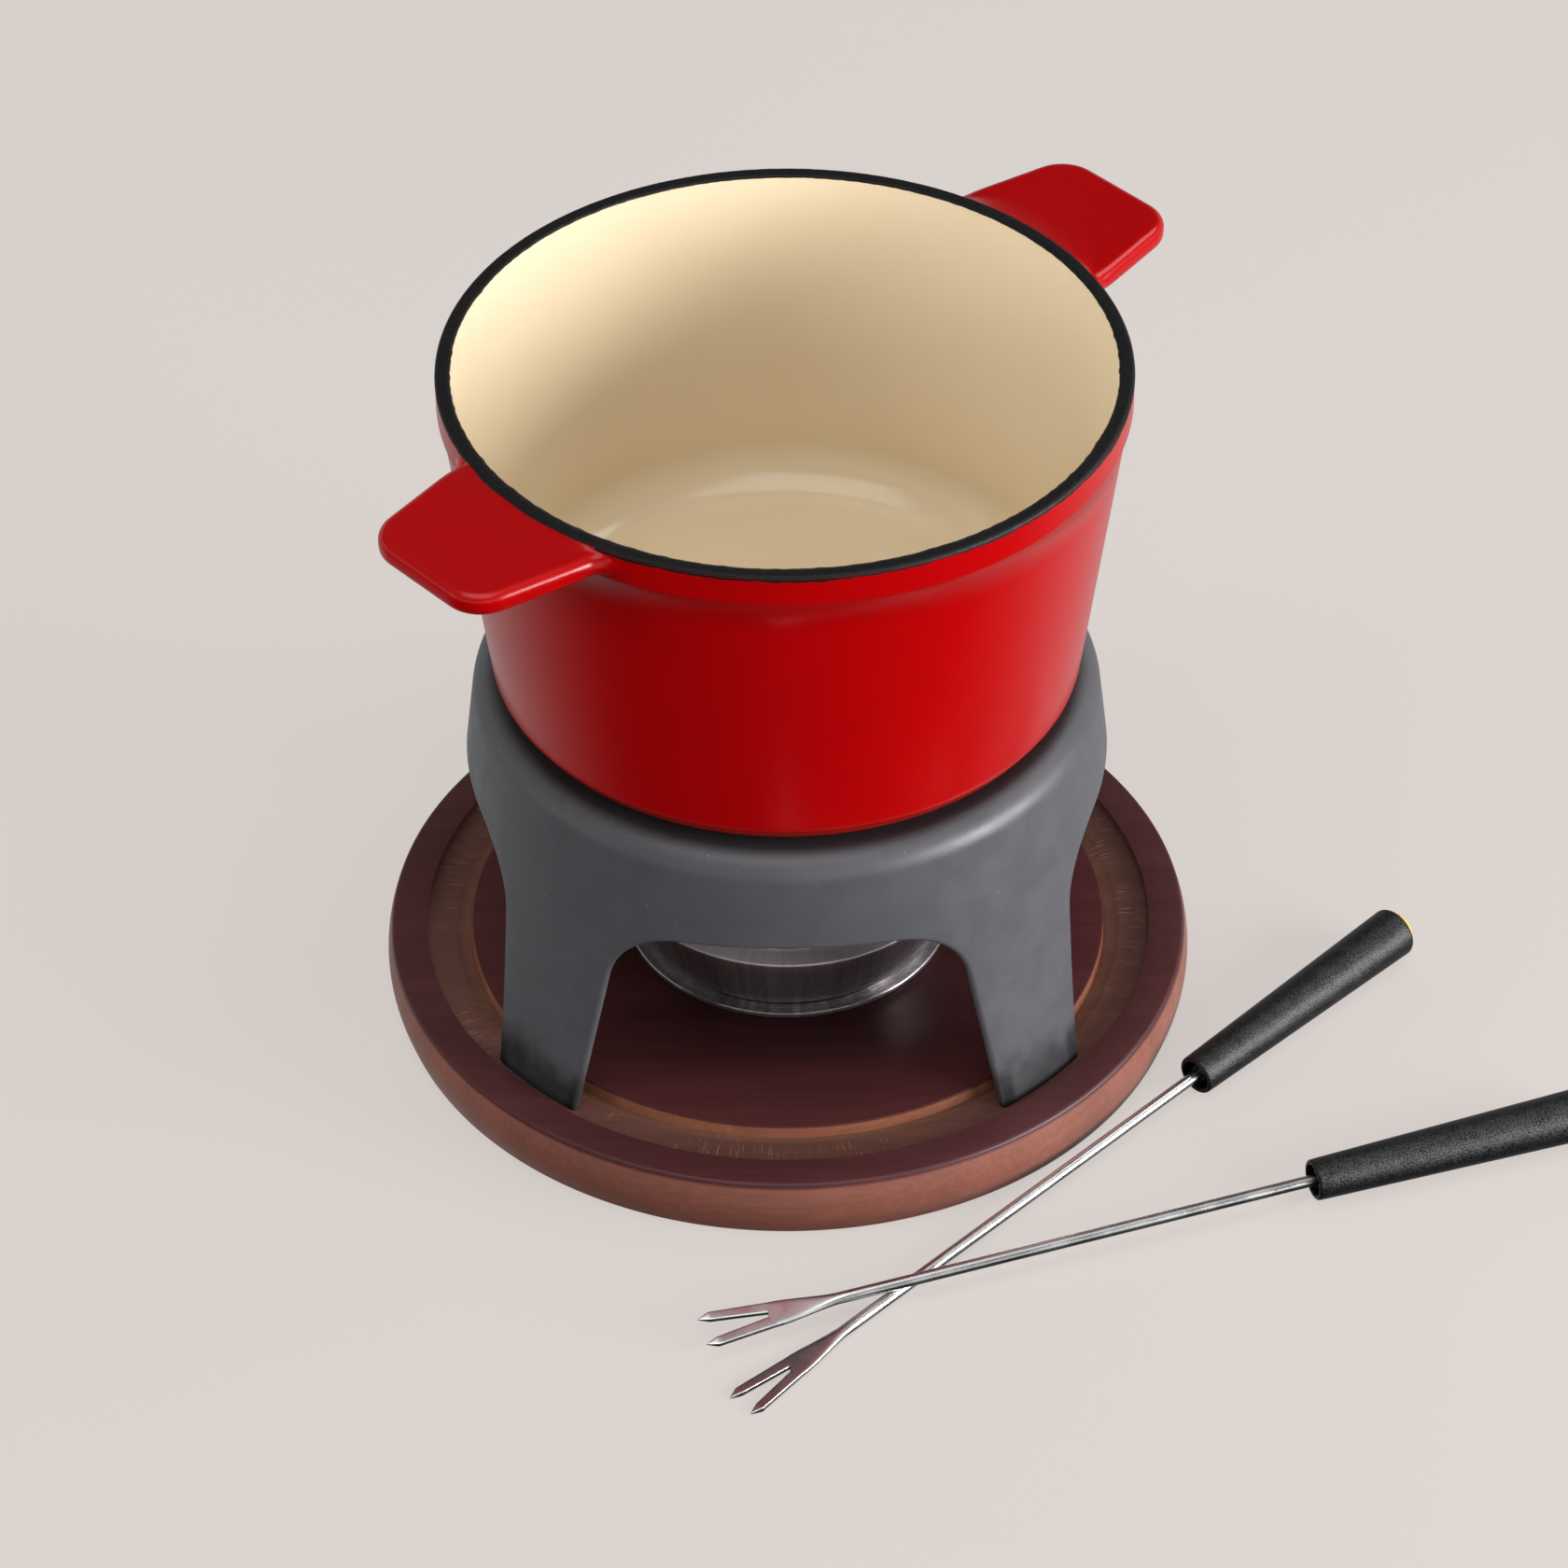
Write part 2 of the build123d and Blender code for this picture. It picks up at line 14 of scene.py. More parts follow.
import bmesh
import bpy
import numpy as np
from mathutils import Matrix, Vector


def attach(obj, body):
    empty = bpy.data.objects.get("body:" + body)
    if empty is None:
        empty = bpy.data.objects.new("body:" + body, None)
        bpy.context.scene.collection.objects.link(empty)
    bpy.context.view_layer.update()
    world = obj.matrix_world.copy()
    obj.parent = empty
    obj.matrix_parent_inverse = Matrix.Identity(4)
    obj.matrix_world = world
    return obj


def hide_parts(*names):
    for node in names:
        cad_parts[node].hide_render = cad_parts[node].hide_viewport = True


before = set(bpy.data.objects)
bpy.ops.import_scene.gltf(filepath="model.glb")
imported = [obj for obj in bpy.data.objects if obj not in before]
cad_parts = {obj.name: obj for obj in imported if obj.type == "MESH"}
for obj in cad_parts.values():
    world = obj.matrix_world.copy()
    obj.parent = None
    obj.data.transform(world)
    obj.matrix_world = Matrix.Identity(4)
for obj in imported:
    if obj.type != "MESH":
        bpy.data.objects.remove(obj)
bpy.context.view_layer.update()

MM = 0.001
# places of a Mix node's colour sockets among its inputs and outputs
MIX_FACTOR, MIX_FIRST, MIX_SECOND, MIX_RESULT = 0, 6, 7, 2
LOG = logging.getLogger("fondue")
Plug = Union[bpy.types.NodeSocket, float, Sequence[float]]


# ---------------------------------------------------------------- node building
class Tree:
    """Builds one node tree, a node and its links at a time."""

    def __init__(self, tree: bpy.types.NodeTree) -> None:
        """Wraps `tree`.

        Args:
            tree: the shader or geometry tree to fill.
        """
        self.tree = tree
        self.input: bpy.types.Node | None = None
        self.output: bpy.types.Node | None = None

    def put(self, socket: bpy.types.NodeSocket, value: Plug) -> None:
        """Links `value` to `socket` if it is a socket, and sets it if it is a constant.

        Args:
            socket: the input to fill.
            value: another node's output, or a number, vector or colour.
        """
        if isinstance(value, bpy.types.NodeSocket):
            self.tree.links.new(value, socket)
        else:
            socket.default_value = value

    def node(
            self, kind: str, plugs: dict[str | int, Plug] | None = None,
            **settings: object) -> bpy.types.Node:
        """Adds a node.

        Args:
            kind: the node's bl_idname.
            plugs: input name or index to value.
            **settings: the node's own properties.

        Returns:
            The new node.
        """
        made = self.tree.nodes.new(kind)
        for key, value in settings.items():
            setattr(made, key, value)
        for key, value in (plugs or {}).items():
            self.put(made.inputs[key], value)
        return made

    def math(self, operation: str, a: Plug, b: Plug = 0.0) -> bpy.types.NodeSocket:
        """Adds a Math node and returns its value.

        Args:
            operation: such as MULTIPLY.
            a: first operand.
            b: second operand.

        Returns:
            The result's socket.
        """
        return self.node("ShaderNodeMath", {0: a, 1: b}, operation=operation).outputs[0]

    def times(self, a: Plug, b: Plug) -> bpy.types.NodeSocket:
        """Multiplies two numbers."""
        return self.math("MULTIPLY", a, b)

    def plus(self, a: Plug, b: Plug) -> bpy.types.NodeSocket:
        """Adds two numbers."""
        return self.math("ADD", a, b)

    def over(self, a: Plug, b: Plug) -> bpy.types.NodeSocket:
        """Divides the first number by the second."""
        return self.math("DIVIDE", a, b)

    def vector(self, parts: dict[int, Plug]) -> bpy.types.NodeSocket:
        """Joins numbers into a vector; an axis that isn't given is 0."""
        return self.node("ShaderNodeCombineXYZ", parts).outputs[0]

    def axes(self, value: Plug) -> tuple[bpy.types.NodeSocket, ...]:
        """Splits a vector into its three numbers."""
        return tuple(self.node("ShaderNodeSeparateXYZ", {0: value}).outputs)

    def given(self, name: str) -> bpy.types.NodeSocket:
        """Gives one of the group's own named inputs."""
        return self.input.outputs[name]

    def ramp(
            self, value: Plug, low: float, high: float, to_low: float = 0.0,
            to_high: float = 1.0) -> bpy.types.NodeSocket:
        """Maps `value` smoothly from low..high to to_low..to_high.

        Args:
            value: what is mapped.
            low: value that gives to_low.
            high: value that gives to_high.
            to_low: result at and below `low`.
            to_high: result at and above `high`.

        Returns:
            The mapped value's socket.
        """
        plugs = {"Value": value, "From Min": low, "From Max": high, "To Min": to_low, "To Max": to_high}
        made = self.node("ShaderNodeMapRange", plugs, interpolation_type="SMOOTHSTEP")
        return made.outputs[0]

    def mix(self, factor: Plug, a: Plug, b: Plug, blend: str = "MIX") -> bpy.types.NodeSocket:
        """Mixes two colours.

        Args:
            factor: 0 gives a, 1 gives b.
            a: first colour.
            b: second colour.
            blend: the blend type.

        Returns:
            The mixed colour's socket.
        """
        made = self.node("ShaderNodeMix", data_type="RGBA", blend_type=blend)
        self.put(made.inputs[MIX_FACTOR], factor)
        self.put(made.inputs[MIX_FIRST], a)
        self.put(made.inputs[MIX_SECOND], b)
        return made.outputs[MIX_RESULT]


class Kind(Enum):
    """Types of group socket."""

    FLOAT = "NodeSocketFloat"
    INT = "NodeSocketInt"
    VECTOR = "NodeSocketVector"
    MESH = "NodeSocketGeometry"
    MATERIAL = "NodeSocketMaterial"
    OBJECT = "NodeSocketObject"


def new_group(
        name: str, shader: bool, inputs: dict[str, tuple[Kind, object]], outputs: dict[str, Kind]) -> Tree:
    """Makes an empty node group with named sockets.

    Args:
        name: the group's name.
        shader: True for a shader group, False for Geometry Nodes.
        inputs: socket name to its kind and default (None for no default).
        outputs: socket name to its kind.

    Returns:
        The group, with its input and output nodes made.
    """
    group = bpy.data.node_groups.new(name, "ShaderNodeTree" if shader else "GeometryNodeTree")
    for label, (kind, default) in inputs.items():
        socket = group.interface.new_socket(name=label, in_out="INPUT", socket_type=kind.value)
        if default is not None:
            socket.default_value = default
    for label, kind in outputs.items():
        group.interface.new_socket(name=label, in_out="OUTPUT", socket_type=kind.value)
    made = Tree(group)
    made.input = group.nodes.new("NodeGroupInput")
    made.output = group.nodes.new("NodeGroupOutput")
    return made


# ---------------------------------------------------------------- shared shader effects
class Effects:
    """Shader node groups that more than one finish uses."""

    def __init__(self) -> None:
        """Builds the groups."""
        self.polar = self._polar()
        self.grain = self._grain()
        self.specks = self._specks()
        self.strokes = self._strokes()

    def _polar(self) -> bpy.types.NodeTree:
        """Builds the group that gives radius, angle and height, in millimetres, about the Z axis.

        Returns:
            The group.
        """
        outputs = {"Radius": Kind.FLOAT, "Angle": Kind.FLOAT, "Height": Kind.FLOAT, "Point": Kind.VECTOR}
        g = new_group("Place about the axis", True, {}, outputs)
        here = g.node("ShaderNodeTexCoord").outputs["Object"]
        point = g.node(
            "ShaderNodeVectorMath", {0: here, 1: (1000.0, 1000.0, 1000.0)}, operation="MULTIPLY").outputs[0]
        axes = g.axes(point)
        square = g.plus(g.times(axes[0], axes[0]), g.times(axes[1], axes[1]))
        g.put(g.output.inputs["Radius"], g.math("SQRT", square))
        g.put(g.output.inputs["Angle"], g.math("ARCTAN2", axes[1], axes[0]))
        g.put(g.output.inputs["Height"], axes[2])
        g.put(g.output.inputs["Point"], point)
        return g.tree

    def _grain(self) -> bpy.types.NodeTree:
        """Builds the group for a fine cast, sprayed or spark-textured surface.

        Returns:
            The group.
        """
        inputs = {"Size": (Kind.FLOAT, 1.0), "Waviness": (Kind.FLOAT, 0.3), "Wave size": (Kind.FLOAT, 12.0)}
        g = new_group("Fine grain", True, inputs, {"Height": Kind.FLOAT, "Tone": Kind.FLOAT})
        here = g.node("ShaderNodeTexCoord").outputs["Object"]
        fine = g.node("ShaderNodeTexNoise", {
            "Vector": here, "Scale": g.over(1000.0, g.given("Size")), "Detail": 3.0, "Roughness": 0.6})
        wave = g.node("ShaderNodeTexNoise", {
            "Vector": here, "Scale": g.over(1000.0, g.given("Wave size")), "Detail": 2.0})
        both = g.plus(fine.outputs[0], g.times(wave.outputs[0], g.given("Waviness")))
        g.put(g.output.inputs["Height"], both)
        g.put(g.output.inputs["Tone"], wave.outputs[0])
        return g.tree

    def _specks(self) -> bpy.types.NodeTree:
        """Builds the group for scattered tiny specks.

        Returns:
            The group.
        """
        inputs = {"Pitch": (Kind.FLOAT, 3.0), "Share": (Kind.FLOAT, 0.1)}
        g = new_group("Scattered specks", True, inputs, {"Mask": Kind.FLOAT})
        here = g.node("ShaderNodeTexCoord").outputs["Object"]
        cells = g.node("ShaderNodeTexVoronoi", {
            "Vector": here, "Scale": g.over(1000.0, g.given("Pitch")), "Randomness": 1.0})
        dot = g.math("LESS_THAN", cells.outputs["Distance"], g.given("Share"))
        pick = g.node("ShaderNodeSeparateColor", {0: cells.outputs["Color"]})
        g.put(g.output.inputs["Mask"], g.times(dot, g.math("GREATER_THAN", pick.outputs[0], 0.5)))
        return g.tree

    def _strokes(self) -> bpy.types.NodeTree:
        """Builds the group for strokes: noise stretched along one of two given coordinates.

        Returns:
            The group.
        """
        inputs = {
            "Along": (Kind.FLOAT, 0.0), "Across": (Kind.FLOAT, 0.0), "Length": (Kind.FLOAT, 10.0),
            "Width": (Kind.FLOAT, 1.0), "Seed": (Kind.FLOAT, 0.0)}
        g = new_group("Strokes", True, inputs, {"Value": Kind.FLOAT})
        along = g.over(g.given("Along"), g.given("Length"))
        across = g.over(g.given("Across"), g.given("Width"))
        at = g.vector({0: along, 1: across, 2: g.given("Seed")})
        noise = g.node("ShaderNodeTexNoise", {"Vector": at, "Scale": 1.0, "Detail": 3.0, "Roughness": 0.6})
        g.put(g.output.inputs["Value"], noise.outputs[0])
        return g.tree


# ---------------------------------------------------------------- finishes
Colour = tuple[float, float, float, float]


@dataclass(frozen=True)
class Finish:
    """One finish. Subclasses add the pattern; this holds what every finish has."""

    name: str
    colour: Colour
    roughness: float
    metallic: float = 0.0
    specular: float = 0.5

    def start(self, effects: Effects) -> "Surface":
        """Makes the material with its shader and constants set.

        Args:
            effects: the shared groups.

        Returns:
            The surface to draw the pattern on.
        """
        material = bpy.data.materials.new(self.name)
        material.use_nodes = True
        surface = Surface(material, effects)
        surface.shader.inputs["Base Color"].default_value = self.colour
        surface.shader.inputs["Roughness"].default_value = self.roughness
        surface.shader.inputs["Metallic"].default_value = self.metallic
        surface.shader.inputs["Specular IOR Level"].default_value = self.specular
        return surface

    def make(self, effects: Effects) -> bpy.types.Material:
        """Makes the finished material.

        Args:
            effects: the shared groups.

        Returns:
            The material.
        """
        surface = self.start(effects)
        self.pattern(surface)
        return surface.material

    def pattern(self, s: "Surface") -> None:
        """Draws the finish's pattern on `s`; the plain finish has only a faint unevenness.

        Args:
            s: the surface to draw on.
        """
        grain = s.group(s.effects.grain, {"Size": 0.6})
        s.bump(grain.outputs["Height"], 0.03, 0.05)


class Surface(Tree):
    """A material being built: its shader and the shared effects."""

    def __init__(self, material: bpy.types.Material, effects: Effects) -> None:
        """Finds the material's shader.

        Args:
            material: a material with nodes.
            effects: the shared groups.
        """
        super().__init__(material.node_tree)
        self.material = material
        self.effects = effects
        self.shader = next(n for n in material.node_tree.nodes if n.bl_idname == "ShaderNodeBsdfPrincipled")

    def group(self, tree: bpy.types.NodeTree, plugs: dict[str, Plug] | None = None) -> bpy.types.Node:
        """Places a shared group.

        Args:
            tree: the group.
            plugs: its inputs by name.

        Returns:
            The group's node.
        """
        made = self.tree.nodes.new("ShaderNodeGroup")
        made.node_tree = tree
        for key, value in (plugs or {}).items():
            self.put(made.inputs[key], value)
        return made

    def bump(self, height: Plug, strength: float, distance: float) -> None:
        """Feeds `height` to the normal, on top of any bump already there.

        Args:
            height: the height map.
            strength: 0 to 1.
            distance: depth in millimetres.
        """
        plugs = {"Height": height, "Strength": strength, "Distance": distance * MM}
        made = self.node("ShaderNodeBump", plugs)
        before = self.shader.inputs["Normal"].links
        if before:
            self.put(made.inputs["Normal"], before[0].from_socket)
        self.put(self.shader.inputs["Normal"], made.outputs[0])

    def set(self, name: str, value: Plug) -> None:
        """Sets or links one of the shader's inputs."""
        self.put(self.shader.inputs[name], value)

    def shaded(self, colour: Colour, tone: Plug) -> bpy.types.NodeSocket:
        """Multiplies a colour by a tone."""
        return self.node("ShaderNodeVectorMath", {0: colour[:3], 1: tone}, operation="MULTIPLY").outputs[0]


@dataclass(frozen=True)
class RedEnamel(Finish):
    """Gloss red enamel: slightly uneven, darker where it is thin, with painted shade on the foot band,
    black where the rim coat starts.
    """

    thin_colour: Colour = (0.28, 0.0, 0.001, 1.0)
    # painted shade: colour of the foot band below the crease, where it sits down in the stand's ring
    foot_shade_colour: Colour = (0.24, 0.010, 0.001, 1.0)
    rim_z: float = 205.0
    foot_z: float = 107.0

    def pattern(self, s: Surface) -> None:
        """Adds ripple, depth of colour, painted shade on the foot band and the ragged edge of the black
        coat.

        Args:
            s: the surface to draw on.
        """
        place = s.group(s.effects.polar)
        grain = s.group(s.effects.grain, {"Size": 1.4, "Waviness": 2.0, "Wave size": 16.0})
        tone = s.ramp(grain.outputs["Tone"], 0.35, 0.65, 0.0, 0.12)
        red = s.mix(tone, self.colour, self.thin_colour)
        # painted shade: below the crease the foot band is painted darker and more orange, where it sits
        # down in the stand's ring
        red = s.mix(
            s.ramp(place.outputs["Height"], self.foot_z + 6.0, self.foot_z + 6.6, 0.55, 0.0), red,
            self.foot_shade_colour)
        ragged = s.group(s.effects.grain, {"Size": 2.2, "Waviness": 0.8, "Wave size": 6.0})
        edge = s.plus(place.outputs["Height"], s.times(ragged.outputs["Height"], 0.5))
        black = s.math("GREATER_THAN", edge, self.rim_z - 0.15)
        under = s.math("LESS_THAN", place.outputs["Height"], self.foot_z + 0.5)
        black = s.math("MAXIMUM", black, under)
        s.set("Base Color", s.mix(black, red, (0.012, 0.011, 0.011, 1.0)))
        s.set("Roughness", s.plus(self.roughness, s.times(black, 0.4)))
        s.bump(grain.outputs["Height"], 0.10, 0.12)


@dataclass(frozen=True)
class CreamEnamel(Finish):
    """Gloss ivory enamel with a faint wavy surface and a few pinholes."""

    warm_colour: Colour = (0.76, 0.625, 0.425, 1.0)

    def pattern(self, s: Surface) -> None:
        """Adds slow waves, slight warmth and rare faint marks.

        Args:
            s: the surface to draw on.
        """
        grain = s.group(s.effects.grain, {"Size": 3.0, "Waviness": 3.0, "Wave size": 22.0})
        tone = s.ramp(grain.outputs["Tone"], 0.35, 0.7, 0.0, 0.35)
        specks = s.group(s.effects.specks, {"Pitch": 14.0, "Share": 0.02})
        ivory = s.mix(tone, self.colour, self.warm_colour)
        s.set("Base Color", s.mix(s.times(specks.outputs["Mask"], 0.3), ivory, (0.3, 0.2, 0.12, 1.0)))
        s.bump(grain.outputs["Height"], 0.08, 0.15)


@dataclass(frozen=True)
class MattEnamel(Finish):
    """Matt enamel over a cast surface, with light specks, dull feet that are darker towards the bottom, and
    painted shade where the pot's foot sits.
    """

    speck_colour: Colour = (0.30, 0.31, 0.33, 1.0)
    grain_size: float = 0.8
    grain_depth: float = 0.12
    speck_pitch: float = 4.0
    dark_below: float = 0.0
    # seat_radius and seat_z place the painted shade on the shoulder next to the pot's foot
    seat_radius: float = 79.0
    seat_z: float = 103.0

    def pattern(self, s: Surface) -> None:
        """Adds the cast grain, uneven tone, specks, the darker feet and painted shade on the shoulder next
        to the pot.

        Args:
            s: the surface to draw on.
        """
        place = s.group(s.effects.polar)
        grain = s.group(s.effects.grain, {"Size": self.grain_size, "Waviness": 1.0, "Wave size": 9.0})
        specks = s.group(s.effects.specks, {"Pitch": self.speck_pitch, "Share": 0.06})
        tone = s.ramp(grain.outputs["Tone"], 0.3, 0.7, 0.96, 1.04)
        body = s.shaded(self.colour, tone)
        dotted = s.mix(s.times(specks.outputs["Mask"], 0.35), body, self.speck_colour)
        # the feet are painted darker towards the bottom, with a wobbling edge
        foot_edge_wobble = s.group(s.effects.grain, {"Size": 5.0, "Waviness": 1.5, "Wave size": 14.0})
        level = s.math("SUBTRACT", place.outputs["Height"], s.times(foot_edge_wobble.outputs["Height"], 9.0))
        foot = s.ramp(level, self.dark_below - 12.0, self.dark_below + 3.0, 0.85, 0.0)
        # painted shade: the shoulder next to the pot's foot is painted near black, where the pot shades it
        seat_painted_shade = s.times(
            s.ramp(place.outputs["Radius"], self.seat_radius - 2.0, self.seat_radius + 2.5, 0.85, 0.0),
            s.ramp(place.outputs["Height"], self.seat_z - 2.0, self.seat_z, 0.0, 1.0))
        s.set("Base Color", s.mix(s.math("MAXIMUM", foot, seat_painted_shade), dotted, (0.008, 0.008, 0.009, 1.0)))
        s.set(
            "Roughness",
            s.ramp(grain.outputs["Height"], 0.5, 1.4, self.roughness - 0.06, self.roughness + 0.1))
        s.bump(grain.outputs["Height"], 0.35, self.grain_depth)


@dataclass(frozen=True)
class StainedWood(Finish):
    """Stained hardwood turned on a lathe: satin top, scuffed groove with a painted highlight at its inner
    wall, coppery side painted lighter as lit, painted shade towards the middle.
    """

    groove_colour: Colour = (0.105, 0.042, 0.032, 1.0)
    # painted highlight: copper colour on the middle's wall in the groove, where it catches the light
    wall_highlight_colour: Colour = (0.20, 0.062, 0.026, 1.0)
    # real scratches; also painted light on the groove's slope by the middle's wall
    scratch_and_lit_slope_colour: Colour = (0.36, 0.19, 0.12, 1.0)
    # painted light: the side is lighter than the top as the side that faces the lamps
    lit_side_colour: Colour = (0.190, 0.070, 0.050, 1.0)
    top_z: float = 18.0
    groove_outer: float = 100.1
    landing_inner: float = 92.1
    middle_radius: float = 87.6

    def pattern(self, s: Surface) -> None:
        """Adds wood pores, turning rings, the scuffed groove, painted highlights in the groove, the side
        painted lighter as lit and painted shade in the middle.

        Args:
            s: the surface to draw on.
        """
        place = s.group(s.effects.polar)
        radius, height = place.outputs["Radius"], place.outputs["Height"]
        arc = s.times(place.outputs["Angle"], 95.0)
        axes = s.axes(place.outputs["Point"])
        pores = s.group(s.effects.strokes, {
            "Along": axes[0], "Across": axes[1], "Length": 26.0, "Width": 0.9,
            "Seed": s.times(height, 0.6)})
        broad = s.group(s.effects.strokes, {
            "Along": axes[0], "Across": axes[1], "Length": 120.0, "Width": 9.0, "Seed": 3.0})
        rings = s.group(s.effects.strokes, {
            "Along": arc, "Across": radius, "Length": 180.0, "Width": 0.7, "Seed": 7.0})
        scratch = s.group(s.effects.strokes, {
            "Along": s.plus(radius, s.times(arc, 0.12)), "Across": arc, "Length": 9.0, "Width": 0.34,
            "Seed": 11.0})
        patch = s.group(s.effects.strokes, {
            "Along": arc, "Across": radius, "Length": 30.0, "Width": 40.0, "Seed": 17.0})
        grain = s.ramp(pores.outputs["Value"], 0.40, 0.62, 0.92, 1.05)
        figure = s.ramp(broad.outputs["Value"], 0.35, 0.65, 0.93, 1.08)
        below_top = s.ramp(height, self.top_z - 0.9, self.top_z - 0.25, 1.0, 0.0)
        inside = s.math("LESS_THAN", radius, self.groove_outer + 0.3)
        in_groove = s.times(below_top, inside)
        # painted light: the groove floor is lighter by the middle's wall, partly lighter stain there and
        # partly the light that the slope catches
        slope = s.ramp(radius, self.middle_radius + 1.2, self.landing_inner + 1.0, 1.0, 0.0)
        # painted highlight: the middle's wall in the groove is mixed towards a brighter copper colour, as
        # lit
        wall = s.ramp(radius, self.middle_radius + 0.15, self.middle_radius + 0.5, 0.55, 0.0)
        scuffed = s.times(
            s.ramp(scratch.outputs["Value"], 0.58, 0.66, 0.0, 0.9),
            s.ramp(patch.outputs["Value"], 0.42, 0.60, 0.15, 1.0))
        floor_colour = s.mix(
            s.math("MAXIMUM", scuffed, s.times(slope, 0.25)), self.groove_colour, self.scratch_and_lit_slope_colour)
        floor_colour = s.mix(wall, floor_colour, self.wall_highlight_colour)
        # painted shade: the middle of the top darkens towards the centre, under the stand and burner
        shaded = s.ramp(radius, self.middle_radius * 0.45, self.middle_radius * 0.98, 0.45, 1.0)
        # painted light: the outer side is painted lighter than the top, as the lit side
        on_side = s.times(
            s.ramp(height, self.top_z - 2.0, self.top_z - 0.8, 1.0, 0.0),
            s.math("GREATER_THAN", radius, self.groove_outer + 2.0))
        middle = s.shaded(self.colour, shaded)
        stained = s.mix(on_side, middle, self.lit_side_colour)
        colour = s.mix(in_groove, stained, floor_colour)
        shade = s.times(grain, figure)
        s.set("Base Color", s.mix(1.0, colour, s.vector({0: shade, 1: shade, 2: shade}), "MULTIPLY"))
        s.set("Roughness", s.plus(self.roughness, s.times(in_groove, 0.18)))
        s.set(
            "Specular IOR Level",
            s.ramp(radius, self.middle_radius - 2.0, self.groove_outer, 0.08, self.specular))
        s.bump(pores.outputs["Value"], 0.12, 0.12)
        s.bump(rings.outputs["Value"], 0.10, 0.10)
        s.bump(s.times(scuffed, in_groove), 0.5, 0.15)


@dataclass(frozen=True)
class SpunSteel(Finish):
    """Stainless sheet, spun and polished: fine rings, up-and-down drawing streaks, a scratched edge."""

    streak: float = 0.25
    rough_spread: float = 0.12

    def pattern(self, s: Surface) -> None:
        """Adds rings, streaks and scratches.

        Args:
            s: the surface to draw on.
        """
        place = s.group(s.effects.polar)
        arc = s.times(place.outputs["Angle"], 46.0)
        rings = s.group(s.effects.strokes, {
            "Along": arc, "Across": s.plus(place.outputs["Radius"], place.outputs["Height"]),
            "Length": 90.0, "Width": 0.25, "Seed": 2.0})
        streaks = s.group(s.effects.strokes, {
            "Along": place.outputs["Height"], "Across": arc, "Length": 60.0, "Width": 2.2, "Seed": 5.0})
        tone = s.ramp(streaks.outputs["Value"], 0.38, 0.62, 1.0 - self.streak, 1.0)
        s.set("Base Color", s.shaded(self.colour, tone))
        s.set(
            "Roughness",
            s.ramp(rings.outputs["Value"], 0.3, 0.7, self.roughness, self.roughness + self.rough_spread))
        s.bump(rings.outputs["Value"], 0.10, 0.03)


@dataclass(frozen=True)
class DrawnSteel(Finish):
    """Polished fork steel with faint hairlines."""

    def pattern(self, s: Surface) -> None:
        """Adds hairlines and small variations in polish.

        Args:
            s: the surface to draw on.
        """
        grain = s.group(s.effects.grain, {"Size": 0.25, "Waviness": 0.6, "Wave size": 9.0})
        s.set(
            "Roughness",
            s.ramp(grain.outputs["Tone"], 0.35, 0.65, self.roughness - 0.03, self.roughness + 0.04))
        s.bump(grain.outputs["Height"], 0.03, 0.02)


@dataclass(frozen=True)
class SparkPlastic(Finish):
    """Moulded plastic with a fine spark-eroded texture."""

    grain_size: float = 0.5

    def pattern(self, s: Surface) -> None:
        """Adds the spark texture.

        Args:
            s: the surface to draw on.
        """
        grain = s.group(s.effects.grain, {"Size": self.grain_size, "Waviness": 0.2, "Wave size": 4.0})
        s.set(
            "Roughness",
            s.ramp(grain.outputs["Height"], 0.45, 0.75, self.roughness - 0.10, self.roughness + 0.14))
        s.set("Specular IOR Level", s.ramp(grain.outputs["Height"], 0.45, 0.75, 0.15, 0.75))
        s.bump(grain.outputs["Height"], 0.9, 0.16)


@dataclass(frozen=True)
class FibreWadding(Finish):
    """Fluffy mineral wadding."""

    def pattern(self, s: Surface) -> None:
        """Adds the fibres' lumpy surface.

        Args:
            s: the surface to draw on.
        """
        grain = s.group(s.effects.grain, {"Size": 1.0, "Waviness": 2.0, "Wave size": 5.0})
        tone = s.ramp(grain.outputs["Height"], 0.8, 2.0, 0.7, 1.0)
        s.set("Base Color", s.shaded(self.colour, tone))
        s.bump(grain.outputs["Height"], 0.8, 0.6)


